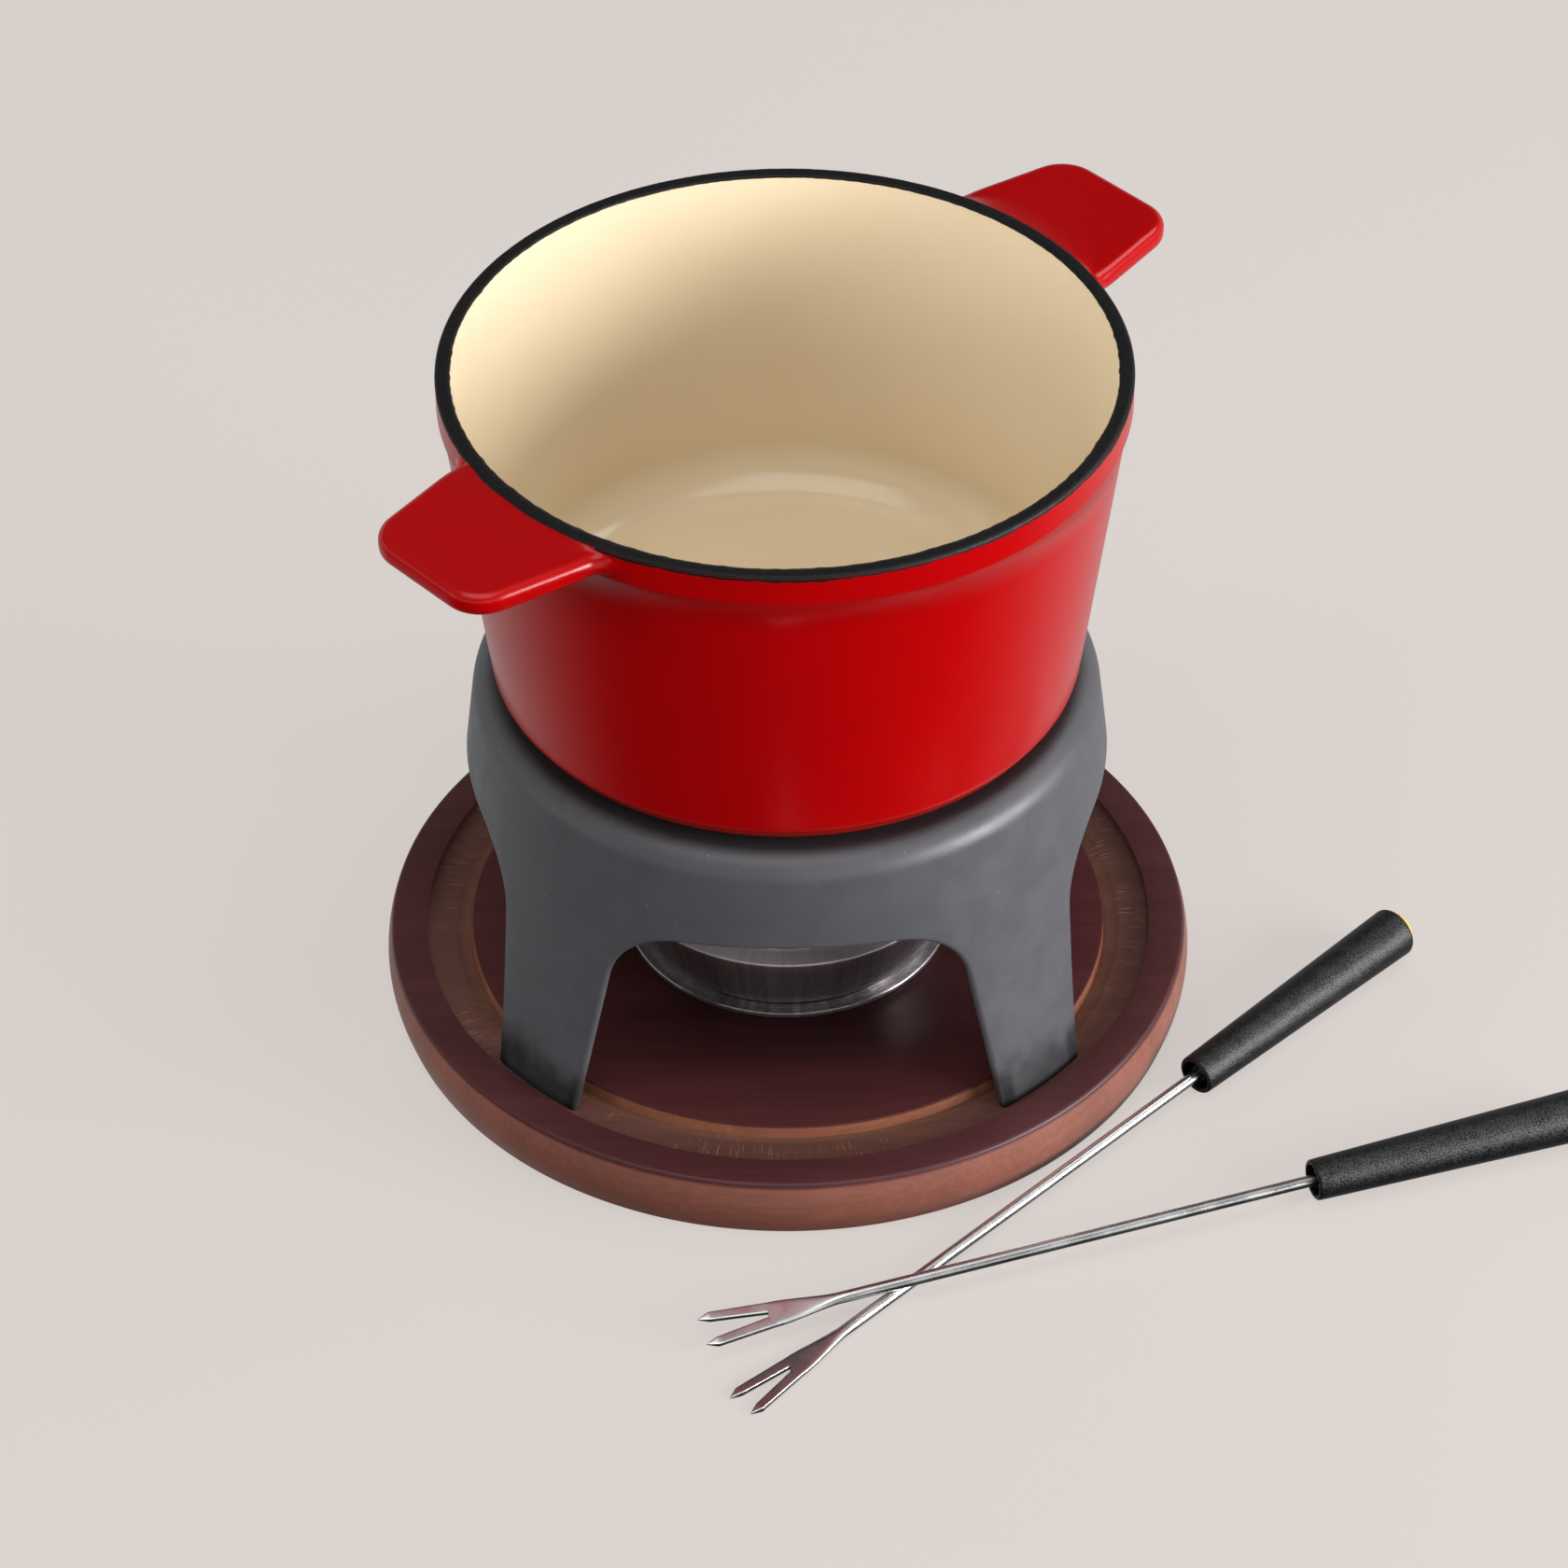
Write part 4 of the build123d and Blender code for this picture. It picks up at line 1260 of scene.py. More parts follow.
@dataclass
class Pot:
    """Red casting with two lugs, cream lining and black rim coat."""

    bench: Bench
    lug: Lug = field(default_factory=Lug)
    lug_turn: float = 42.5
    lug_top_z: float = 203.4
    lug_thickness: float = 6.6
    lug_edge: float = 2.6
    seat_z: float = 107.0
    height: float = 98.0
    foot_radius: float = 78.0
    rim_radius: float = 90.0
    foot_rounding: float = 9.5
    crease: float = 0.35
    band_height: float = 8.6
    band_step: float = 0.9
    wall: float = 3.3
    floor: float = 4.5
    lining: float = 0.4
    coat: float = 0.6
    inside_rounding: float = 14.0

    def inner_radius(self, z: float, skin: float) -> float:
        """Inside radius at a height, `skin` in from the iron."""
        lean_out = (self.rim_radius - self.foot_radius) * (z - self.seat_z) / self.height
        return self.foot_radius + lean_out - self.wall - skin

    def headings(self) -> np.ndarray:
        """Directions of the grid's columns: close together across the lugs, wider elsewhere.

        Returns:
            The directions in radians.
        """
        spread = math.degrees(self.lug.half_angle) + 2.0
        fine = np.arange(-spread, spread, 0.28)
        gap = 180.0 - 2 * spread
        coarse = spread + np.arange(0, gap, gap / 90.0)
        half = np.concatenate([fine, coarse])
        return np.radians(np.concatenate([half, half + 180.0]) + self.lug_turn)

    def column(self, heading: float) -> np.ndarray:
        """One column of the outer surface, from the middle of the bottom up to the rim.

        Args:
            heading: the column's direction in radians.

        Returns:
            (radius, height, softness) rows; softness marks where the lug blends into the wall.
        """
        wall_top = self.seat_z + self.height - self.band_height - self.band_step
        top_r = self.rim_radius - self.band_step
        lean = math.degrees(math.atan2(top_r - self.foot_radius, wall_top - self.seat_z))
        tilt, rounding = math.radians(lean), self.foot_rounding
        middle_r = self.foot_radius + math.tan(tilt) * rounding - rounding / math.cos(tilt)
        centre = (middle_r, self.seat_z + rounding)
        rows = [(0.0, self.seat_z, 0.0), (25.0, self.seat_z, 0.0), (50.0, self.seat_z, 0.0)]
        under_crease = enumerate(arc(centre, rounding, -90, -20, 9))
        rows += [(r - self.crease * k / 9, z, 0.0) for k, (r, z) in under_crease]
        rows += [(r, z, 0.0) for r, z in arc(centre, rounding, -18.5, -lean, 4)]
        start_r, start_z, _ = rows[-1]
        rows += [(r, z, 0.0) for r, z in straight((start_r, start_z), (top_r, wall_top), 8)]
        rows += [
            (self.rim_radius - self.band_step * 0.5, wall_top + self.band_step * 0.5, 0.0),
            (self.rim_radius, wall_top + self.band_step, 0.0)]
        turn = (heading - math.radians(self.lug_turn) + math.pi / 2) % math.pi - math.pi / 2
        reach = self.lug.outline(turn)
        low, high = self.lug_top_z - self.lug_thickness, self.lug_top_z
        middle = (low + high) / 2
        edge = self.lug_edge
        span = reach - self.rim_radius
        steps = [span * (k / 12) ** 0.8 for k in range(12)]
        slant = self._slant(turn, reach)
        room = min(edge / slant, span)
        flat = [self.rim_radius + v * (span - room) / max(span, 1e-9) for v in steps]
        curl = [reach - room * (1 - math.cos(a)) for a in np.radians(np.linspace(90, 0, 9))]
        radii = np.array(flat + curl)
        depth = np.clip(self.lug.inside(radii * math.cos(turn), radii * math.sin(turn)), 0.0, edge)
        if span < 1e-6:
            depth = np.zeros(len(radii))
        drop = edge - np.sqrt(np.maximum(edge ** 2 - (edge - depth) ** 2, 0.0))
        soft = np.exp(-((radii - self.rim_radius) / 3.5) ** 2)
        under = list(zip(radii, low + drop, soft))
        above = list(zip(radii, high - drop, soft))
        below_z = float(under[0][1])
        band_z = wall_top + self.band_step
        rows += [(self.rim_radius, band_z + (below_z - band_z) * k / 4, 0.25 * k) for k in (1, 2, 3)]
        rows += [(float(r), float(z), float(w)) for r, z, w in under]
        rows += [(float(reach), middle, 0.0)]
        rows += [(float(r), float(z), float(w)) for r, z, w in reversed(above)]
        top = self.seat_z + self.height - self.coat
        above_z = float(above[0][1])
        rows += [(self.rim_radius, above_z + (top - above_z) * k / 4, 1.0 - 0.25 * k) for k in (1, 2, 3)]
        rows += [(self.rim_radius, top, 0.0)]
        return np.array(rows)

    def _slant(self, turn: float, reach: float) -> float:
        """How squarely the column meets the lug's outline: 1 is square on.

        Args:
            turn: direction from the lug's middle, in radians.
            reach: radius of the outline there.

        Returns:
            The sine of the angle between them.
        """
        if reach <= self.rim_radius + 1e-6:
            return 1.0
        radii = np.array([reach - 0.4, reach])
        depth = self.lug.inside(radii * math.cos(turn), radii * math.sin(turn))
        return float(np.clip((depth[0] - depth[1]) / 0.4, 0.15, 1.0))

    def body(self) -> bpy.types.Object:
        """Makes the red casting.

        Returns:
            The piece.
        """
        headings = self.headings()
        outer = np.stack([self.column(h) for h in headings])
        top = self.seat_z + self.height - self.coat
        floor = self.seat_z + self.floor
        inside = [(self.inner_radius(top, 0.0), top), (self.inner_radius(top, 0.0), top - 0.5)]
        inside += arc(
            (self.inner_radius(floor, 0.0) - self.inside_rounding, floor + self.inside_rounding),
            self.inside_rounding, 0, -90, 8)
        inside += [(0.0, floor)]
        points = around(outer[..., 0], headings[:, None], outer[..., 1])
        points = self.soften(points, outer[..., 2])
        ring = np.array(inside)
        inner = around(ring[None, :, 0], headings[:, None], ring[None, :, 1])
        return self.bench.sweep_grid(
            "pot_body_shown", "red_enamel", np.concatenate([points, inner], axis=1), True, 40.0)

    @staticmethod
    def soften(points: np.ndarray, weight: np.ndarray, rounds: int = 60) -> np.ndarray:
        """Relaxes the grid where the lugs meet the wall, which makes the cast blend.

        Args:
            points: columns x rows x 3.
            weight: columns x rows, 0 keeps a point still.
            rounds: how many passes.

        Returns:
            The relaxed points.
        """
        w = weight[..., None] * 0.5
        for _ in range(rounds):
            along = points.copy()
            along[:, 1:-1] = (points[:, :-2] + points[:, 2:]) / 2
            points = points + (along - points) * w
        return points

    def line(self) -> bpy.types.Object:
        """Makes the cream lining as a thin closed coat.

        Returns:
            The piece.
        """
        top = self.seat_z + self.height - self.coat
        floor = self.seat_z + self.floor + self.lining
        r = self.inside_rounding - self.lining
        inside = [(0.0, floor), (30.0, floor)]
        inside += arc((self.inner_radius(floor, self.lining) - r, floor + r), r, -90, 3, 14)
        start = inside[-1]
        end = (self.inner_radius(top, self.lining), top)
        inside += straight(start, end, 10)
        outside = [(x + self.lining * 0.8, z) for x, z in reversed(inside[2:])]
        outside = [(x, z - (self.lining * 0.8 if z < floor + 4 else 0.0)) for x, z in outside]
        return self.bench.turn(
            "pot_lining_shown", "cream_enamel", inside + outside + [(0.0, floor - self.lining * 0.8)], 256,
            50.0)

    def rim(self) -> bpy.types.Object:
        """Makes the black rim coat, which runs a ragged way down the outside.

        Returns:
            The piece.
        """
        headings = np.linspace(0, math.tau, 720, endpoint=False)
        rng = np.random.default_rng(7)
        droop = np.zeros(len(headings))
        for wave, size in ((5, 0.10), (11, 0.10), (23, 0.10), (47, 0.08), (90, 0.08), (160, 0.06)):
            droop += size * np.sin(wave * headings + rng.uniform(0, math.tau))
        top = self.seat_z + self.height
        inner = self.inner_radius(top, self.lining)
        shape = [
            (inner - 0.05, top - 1.0), (inner - 0.05, top - 0.5), (inner + 0.15, top - 0.15),
            (inner + 0.6, top)]
        flat = self.rim_radius - 1.2 - inner - 0.6
        shape += [(inner + 0.6 + flat * k / 4, top + 0.05 * math.sin(math.pi * k / 4)) for k in (1, 2, 3)]
        shape += arc((self.rim_radius - 1.0, top - 1.0), 1.06, 90, 0, 6)
        last = len(shape)
        shape += [
            (self.rim_radius + 0.05, top - 1.35), (self.rim_radius - 0.3, top - 1.4),
            (inner + 0.3, top - 1.0)]
        grid = np.zeros((len(headings), len(shape), 3))
        for j, (r, z) in enumerate(shape):
            rough = rng.normal(0, 0.02, len(headings)) if 3 <= j < last else 0.0
            drop = np.where(z < top - 1.2, droop, 0.0)
            inset = 0.12 + 0.9 * np.abs(droop) if j in (1, 2) else 0.0
            grid[:, j] = around(r - inset, headings, z + rough - drop)
        closed = np.concatenate([grid, grid[:, :1]], axis=1)
        return self.bench.sweep_grid("pot_rim_shown", "black_enamel", closed, True, 60.0)

    def build(self) -> None:
        """Makes the pot's three layers and mounts them."""
        self.bench.mount(self.body(), "pot", "red_enamel", "pot_body")
        self.bench.mount(self.line(), "pot", "cream_enamel", "pot_lining")
        self.bench.mount(self.rim(), "pot", "black_enamel", "pot_rim")


# ---------------------------------------------------------------- burner
@dataclass
class Burner:
    """Spirit burner: saucer, flared cup, wadding, gauze, slotted cover and turning regulator."""

    bench: Bench
    base_z: float = 18.0
    sheet: float = 0.6
    saucer_radius: float = 44.8
    saucer_lip: float = 1.8
    floor_radius: float = 39.0
    corner_radius: float = 43.4
    corner_height: float = 4.4
    top_radius: float = 48.2
    rim_z: float = 40.2
    plate: float = 0.8
    overhang: float = 0.6
    collar: float = 24.0
    gauze_z: float = 33.2
    collar_rise: float = 1.6
    vents: int = 12
    slot_length: float = 9.5
    slot_width: float = 3.2
    slot_ring: float = 34.75
    regulator_radius: float = 43.0
    knob_at: float = 58.0
    arm_width: float = 5.0
    knob_radius: float = 4.8
    knob_height: float = 9.0
    flutes: int = 18
    flute_depth: float = 0.22
    wadding_radius: float = 38.0
    gauze_radius: float = 38.0
    gauze_pitch: float = 1.5
    wire_radius: float = 0.19
    cutter_depth: float = 3.0

    def saucer(self) -> bpy.types.Object:
        """Makes the saucer with its rolled lip.

        Returns:
            The piece.
        """
        z, r, t = self.base_z, self.saucer_radius, self.sheet
        line = [(0.0, z + t), (30.0, z + t), (r - 1.6, z + t)]
        line += arc((r - 1.6, z + t + 0.6), 0.6, -90, -10, 4)
        line += [(r - t, z + self.saucer_lip - 0.3)]
        line += arc((r - t / 2, z + self.saucer_lip - t / 2), t / 2, 180, 0, 6)
        line += [(r, z + 0.7)] + arc((r - 0.7, z + 0.7), 0.7, 0, -90, 4) + [(0.0, z)]
        return self.bench.turn("burner_saucer_shown", "stainless", line, 192)

    def cup(self) -> bpy.types.Object:
        """Makes the flared cup with a rolled rim.

        Returns:
            The piece.
        """
        z, t = self.base_z + self.sheet, self.sheet
        corner = (self.corner_radius, z + self.corner_height)
        outside = [(0.0, z), (30.0, z), (self.floor_radius - 1.0, z), (self.floor_radius + 0.3, z + 0.25)]
        outside += [
            (corner[0] - 0.7, corner[1] - 0.7), (corner[0], corner[1]), (corner[0] + 0.2, corner[1] + 0.8)]
        high = self.rim_z - 1.0
        outside += straight(corner, (self.top_radius, high), 6)
        lip = arc((self.top_radius - t / 2, self.rim_z - t / 2), t / 2, 0, 180, 6)
        inside = [(r - t, max(h, z + t)) for r, h in reversed(outside[2:])]
        return self.bench.turn(
            "burner_cup_shown", "stainless", outside + lip + inside + [(0.0, z + t)], 256, 28.0)

    def cover(self) -> bpy.types.Object:
        """Makes the slotted cover with its collar.

        Returns:
            The piece.
        """
        top = self.rim_z + self.plate
        r = self.top_radius + self.overhang
        c, o = self.collar, self.collar + self.plate
        low = self.gauze_z + self.plate
        half = self.plate / 2
        line = [(c, low), (c, top + self.collar_rise - 0.3)]
        line += arc((c + half, top + self.collar_rise - half), half, 180, 0, 6)
        line += [(o, top), (r - 0.4, top)] + arc((r - 0.4, top - 0.4), 0.4, 90, -90, 6)
        line += [(o, self.rim_z), (o, low), (c, low)]
        plate = self.bench.turn("burner_cover_shown", "brushed_plate", line, 192)
        size = (self.slot_length, self.slot_width, self.cutter_depth)
        return self.bench.cut_ring(
            plate, "brushed_plate", size, self.slot_ring, self.vents, self.rim_z + self.plate / 2, 0.0)

    def regulator(self) -> bpy.types.Object:
        """Makes the turning slotted plate with its arm.

        Returns:
            The piece.
        """
        low = self.rim_z + self.plate + 0.05
        high = low + self.plate
        r, c = self.regulator_radius, self.collar + self.plate + 0.08
        line = [(c, low), (c, high), (r - 0.3, high)]
        line += arc((r - 0.4, high - 0.4), 0.4, 90, -90, 6) + [(c, low)]
        plate = self.bench.turn("burner_regulator_shown", "stainless", line, 192)
        size = (self.slot_length, self.slot_width, self.cutter_depth)
        plate = self.bench.cut_ring(
            plate, "stainless", size, self.slot_ring, self.vents, low + self.plate / 2, 180.0 / self.vents)
        arm = self.bench.sweep_grid("arm", "stainless", self.arm_grid(low, high), False, 30.0)
        self.bench.join(plate, [arm], 35.0)
        return plate

    def arm_grid(self, low: float, high: float) -> np.ndarray:
        """Points of the arm that carries the knob, as sections along it.

        Args:
            low: height of its underside.
            high: height of its top.

        Returns:
            sections x 9 x 3 points, closed at both ends.
        """
        half, end, start = self.arm_width / 2, self.knob_at, self.regulator_radius - 3.0
        stations = [(start + (end - start) * k / 8, half) for k in range(8)]
        stations += [
            (end + half * math.sin(a), half * math.cos(a)) for a in np.radians([0, 20, 40, 60, 75, 88])]
        rows = []
        bevel = 0.15
        for x, w in stations:
            w = max(w, 0.05)
            b = min(bevel, w / 2)
            row = [(x, -w, low + b), (x, -w, high - b), (x, -w + b, high), (x, w - b, high)]
            row += [(x, w, high - b), (x, w, low + b), (x, w - b, low), (x, -w + b, low), (x, -w, low + b)]
            rows.append(row)
        grid = np.array(rows)
        first = grid[:1].mean(axis=1, keepdims=True).repeat(grid.shape[1], axis=1)
        last = grid[-1:].mean(axis=1, keepdims=True).repeat(grid.shape[1], axis=1)
        return np.concatenate([first, grid, last], axis=0)

    def wadding(self) -> bpy.types.Object:
        """Makes the lumpy wadding.

        Returns:
            The piece.
        """
        radius, low, high = self.wadding_radius, self.base_z + 1.3, self.gauze_z - 0.1
        rng = np.random.default_rng(3)
        headings = np.linspace(0, math.tau, 96, endpoint=False)
        shape = [
            (0.0, low), (radius - 1, low), (radius, low + 1), (radius, high - 1.5), (radius - 1.2, high)]
        shape += [(radius * (1 - k / 12), high) for k in range(1, 13)]
        grid = np.zeros((len(headings), len(shape), 3))
        for j, (r, z) in enumerate(shape):
            grid[:, j] = around(r, headings, z)
            if 3 < j < len(shape) - 1:
                grid[:, j, 2] -= rng.uniform(0, 0.5, len(headings))
        return self.bench.sweep_grid("burner_wadding_shown", "wadding", grid, True, 80.0)

    def gauze(self) -> bpy.types.Object:
        """Makes the woven gauze.

        Returns:
            The piece.
        """
        base = self.bench.link("burner_gauze_blank", bpy.data.meshes.new("burner_gauze_blank"))
        values = {
            "Radius": self.gauze_radius * MM, "Pitch": self.gauze_pitch * MM,
            "Wire radius": self.wire_radius * MM,
            "Height": (self.gauze_z + 0.4) * MM, "Finish": self.bench.paints["steel_gauze"]}
        return self.bench.run("burner_gauze_shown", base, self.bench.weave, values)

    def knob(self) -> bpy.types.Object:
        """Makes the fluted plastic knob.

        Returns:
            The piece.
        """
        low = self.rim_z + 2 * self.plate + 0.05
        high = low + self.knob_height
        headings = np.linspace(0, math.tau, 144, endpoint=False)
        flute = self.flute_depth * (1 + np.cos(headings * self.flutes)) / 2
        r = self.knob_radius
        shape = [
            (0.0, low, 0), (r - 0.9, low, 0), (r - 0.6, low + 0.3, 0), (r - 0.3, low + 1.0, 0),
            (r, low + 1.8, 1), (r, high - 2.0, 1)]
        shape += [(x, z, 1 - k / 6) for k, (x, z) in enumerate(arc((r - 1.6, high - 1.6), 1.6, 0, 90, 6))]
        shape += [(r - 2.6, high - 0.15, 0), (0.0, high - 0.35, 0)]
        grid = np.zeros((len(headings), len(shape), 3))
        for j, (x, z, w) in enumerate(shape):
            grid[:, j] = around(x - flute * w, headings, z)
        grid[..., 0] += self.knob_at
        return self.bench.sweep_grid("burner_knob_shown", "black_plastic", grid, True, 40.0)

    def build(self) -> None:
        """Makes the burner's pieces and mounts them."""
        self.bench.mount(self.saucer(), "burner", "stainless", "burner_saucer")
        self.bench.mount(self.cup(), "burner", "stainless", "burner_cup")
        self.bench.mount(self.wadding(), "burner", "wadding", "burner_wadding")
        self.bench.mount(self.gauze(), "burner", "steel_gauze", "burner_gauze")
        self.bench.mount(self.cover(), "burner", "stainless", "burner_cover")
        self.bench.mount(self.regulator(), "regulator", "stainless", "burner_regulator")
        self.bench.mount(self.knob(), "regulator", "black_plastic", "burner_knob")


# ---------------------------------------------------------------- forks
@dataclass
class Fork:
    """Long two-tined fork: flat pointed head, round shaft, cored and ribbed handle, coloured cap."""

    bench: Bench
    name: str
    cap_slot: str
    turn: float
    line: float
    tip: float
    tip_z: float
    rise: float
    roll: float = 0.0
    length: float = 255.0
    handle_length: float = 84.0
    front_radius: float = 5.6
    rear_radius: float = 7.2
    front_round: float = 0.8
    rear_round: float = 1.4
    shaft_radius: float = 1.6
    tang: float = 44.5
    tine_length: float = 18.5
    tine_width: float = 2.5
    tine_spread: float = 10.2
    tine_point: float = 3.2
    thickness: float = 1.5
    head_waist: float = 7.4
    neck: float = 21.0
    cap_radius: float = 5.2
    cap_thickness: float = 1.8
    stem_radius: float = 3.58
    stem_length: float = 6.9
    core_radius: float = 4.3
    core_depth: float = 8.0
    boss_radius: float = 2.5
    ribs: int = 6
    rib_thickness: float = 0.7

    def matrix(self) -> Matrix:
        """Matrix that takes the fork's own frame, Z back from the tips and Y up, to the CAD frame.

        Returns:
            The matrix, in metres.
        """
        heading, slope = math.radians(self.turn), math.radians(self.rise)
        at = Vector((
            self.line * math.sin(heading) + self.tip * math.cos(heading),
            self.tip * math.sin(heading) - self.line * math.cos(heading), self.tip_z))
        back = Vector((
            math.cos(heading) * math.cos(slope), math.sin(heading) * math.cos(slope), math.sin(slope)))
        up = Vector((
            -math.cos(heading) * math.sin(slope), -math.sin(heading) * math.sin(slope), math.cos(slope)))
        front = Vector((math.sin(heading), -math.cos(heading), 0.0))
        face = up * math.cos(math.radians(self.roll)) + front * math.sin(math.radians(self.roll))
        return Matrix.Translation(at * MM) @ Matrix((face.cross(back), face, back)).transposed().to_4x4()

    def place(self, piece: bpy.types.Object) -> bpy.types.Object:
        """Moves a piece's mesh from the fork's own frame to the CAD frame."""
        piece.data.transform(self.matrix())
        return piece

    def rod(self, stations: Sequence[tuple[float, float, float, float, float]]) -> bpy.types.Object:
        """Sweeps a rounded section along the fork.

        Args:
            stations: (distance back, sideways, half width, half thickness, power); power 2 is
                round, more is squarer.

        Returns:
            The closed rod.
        """
        turns = np.linspace(0, math.tau, 48, endpoint=False)
        c, s = np.cos(turns), np.sin(turns)
        rows = []
        for back, side, wide, thick, power in stations:
            x = side + wide * np.sign(c) * np.abs(c) ** (2 / power)
            y = thick * np.sign(s) * np.abs(s) ** (2 / power)
            rows.append(np.stack([x, y, np.full(len(turns), back)], axis=-1))
        first = rows[0].mean(axis=0, keepdims=True).repeat(len(turns), axis=0)
        last = rows[-1].mean(axis=0, keepdims=True).repeat(len(turns), axis=0)
        grid = np.stack([first] + rows + [last], axis=1)
        return self.bench.sweep_grid(self.name + "_rod", "polished_steel", grid, True, 40.0)

    def tine(self, side: int) -> bpy.types.Object:
        """Makes one pointed tine.

        Args:
            side: 1 or -1.

        Returns:
            The tine, its root buried in the head.
        """
        stations = []
        gap = self.tine_spread / 2 - self.tine_width
        for k in range(25):
            share = k / 24
            back = self.tine_point * share
            outer = self.tine_spread / 2 - self.tine_width / 2 * (1 - share ** 0.8)
            inner = gap + self.tine_width / 2 * (1 - share ** 0.8)
            stations.append((
                back + 0.02, side * (outer + inner) / 2, max((outer - inner) / 2, 0.03),
                self.thickness / 2 * (0.12 + 0.88 * share ** 0.7), 2.2 + 4.8 * share))
        for k in range(1, 13):
            share = k / 12
            outer = self.tine_spread / 2 + (self.head_waist / 2 - self.tine_spread / 2) * share
            inner = gap + (0.55 - gap) * share
            stations.append((
                self.tine_point + (self.tine_length - self.tine_point) * share, side * (outer + inner) / 2,
                (outer - inner) / 2, self.thickness / 2, 7.0))
        root = self.head_waist / 2 - 0.5
        stations.append((
            self.tine_length + 2.0, side * (root + 0.4) / 2, (root - 0.4) / 2, self.thickness / 2 - 0.06,
            7.0))
        return self.rod(stations)

    def shaft(self) -> bpy.types.Object:
        """Makes the head's root, the neck and the round shaft with its tang.

        Returns:
            The piece.
        """
        stations = []
        start = self.tine_length - 0.3
        end = self.tine_length + self.neck
        for k in range(25):
            share = k / 24
            ease = share * share * (3 - 2 * share)
            wide = self.head_waist / 2 + (self.shaft_radius - self.head_waist / 2) * min(1.0, ease * 1.05)
            rounder = max(0.0, share * 1.6 - 0.6) ** 1.4
            thick = self.thickness / 2 + (self.shaft_radius - self.thickness / 2) * rounder
            stations.append((
                start + (end - start) * share, 0.0, wide, thick, 2.0 + 5.0 * (1 - share) ** 1.5))
        last = self.length - self.handle_length + self.tang
        stations += [
            (end + (last - end) * k / 40, 0.0, self.shaft_radius, self.shaft_radius, 2.0)
            for k in range(1, 41)]
        return self.rod(stations)

    def prongs(self) -> bpy.types.Object:
        """Makes the steel: two tines, head and shaft in one mesh.

        Returns:
            The piece.
        """
        piece = self.shaft()
        piece.name = piece.data.name = self.name + "_prongs_shown"
        self.bench.join(piece, [self.tine(side) for side in (1, -1)], 40.0)
        return self.place(piece)

    def handle(self) -> bpy.types.Object:
        """Makes the moulded handle, hollow at the front round a ribbed boss.

        Returns:
            The piece.
        """
        front, rear = self.length - self.handle_length, self.length - self.cap_thickness
        bore = self.shaft_radius + 0.02
        line = [(0.0, front + self.tang + 0.3), (bore, front + self.tang + 0.2), (bore, front + 1.4)]
        line += [
            (self.boss_radius - 0.2, front + 1.4), (self.boss_radius, front + 1.6),
            (self.boss_radius + 0.1, front + self.core_depth)]
        line += [
            (self.core_radius - 0.1, front + self.core_depth), (self.core_radius, front + 0.3),
            (self.core_radius + 0.25, front + 0.02)]
        line += arc(
            (self.front_radius - self.front_round, front + self.front_round), self.front_round, -90, 0, 6)
        lean = (self.rear_radius - self.front_radius) / (rear - front)
        low, high = front + self.front_round, rear - self.rear_round
        line += [
            (self.front_radius + lean * (low + (high - low) * k / 24 - front), low + (high - low) * k / 24)
            for k in range(1, 25)]
        line += arc((line[-1][0] - self.rear_round, high), self.rear_round, 8, 90, 8)
        line += [
            (self.stem_radius + 0.1, rear), (self.stem_radius + 0.02, rear - 0.1),
            (self.stem_radius + 0.02, rear - self.stem_length - 0.1), (0.0, rear - self.stem_length - 0.1)]
        blank = self.bench.turn(self.name + "_handle_blank", "black_plastic", line, 96, 30.0)
        values = {
            "Count": self.ribs, "Inner radius": (self.boss_radius - 0.1) * MM,
            "Outer radius": (self.core_radius + 0.2) * MM, "Thickness": self.rib_thickness * MM,
            "Front": (front + 2.0) * MM, "Back": (front + self.core_depth + 0.2) * MM,
            "Finish": self.bench.paints["black_plastic"]}
        piece = self.bench.run(self.name + "_handle_shown", blank, self.bench.ribs, values)
        self.bench.smooth(piece, 30.0)
        return self.place(piece)

    def cap(self) -> bpy.types.Object:
        """Makes the coloured cap: a plug with a flat disc whose edge is rounded.

        Returns:
            The piece.
        """
        rear = self.length - self.cap_thickness
        line = [
            (0.0, rear - self.stem_length), (self.stem_radius - 0.3, rear - self.stem_length),
            (self.stem_radius, rear - self.stem_length + 0.3), (self.stem_radius, rear)]
        line += [
            (self.cap_radius - 0.15, rear), (self.cap_radius, rear + 0.15), (self.cap_radius, rear + 0.5)]
        line += arc((self.cap_radius - 0.9, rear + 0.7), 0.9, 0, 80, 8)
        line += [(self.cap_radius * 0.5, self.length - 0.06), (0.0, self.length)]
        return self.place(self.bench.turn(self.name + "_cap_shown", self.cap_slot, line, 96, 40.0))

    def build(self) -> None:
        """Makes the fork's pieces and mounts them."""
        self.bench.mount(self.prongs(), self.name, "polished_steel", self.name + "_prongs")
        self.bench.mount(self.handle(), self.name, "black_plastic", self.name + "_handle")
        self.bench.mount(self.cap(), self.name, self.cap_slot, self.name + "_cap")


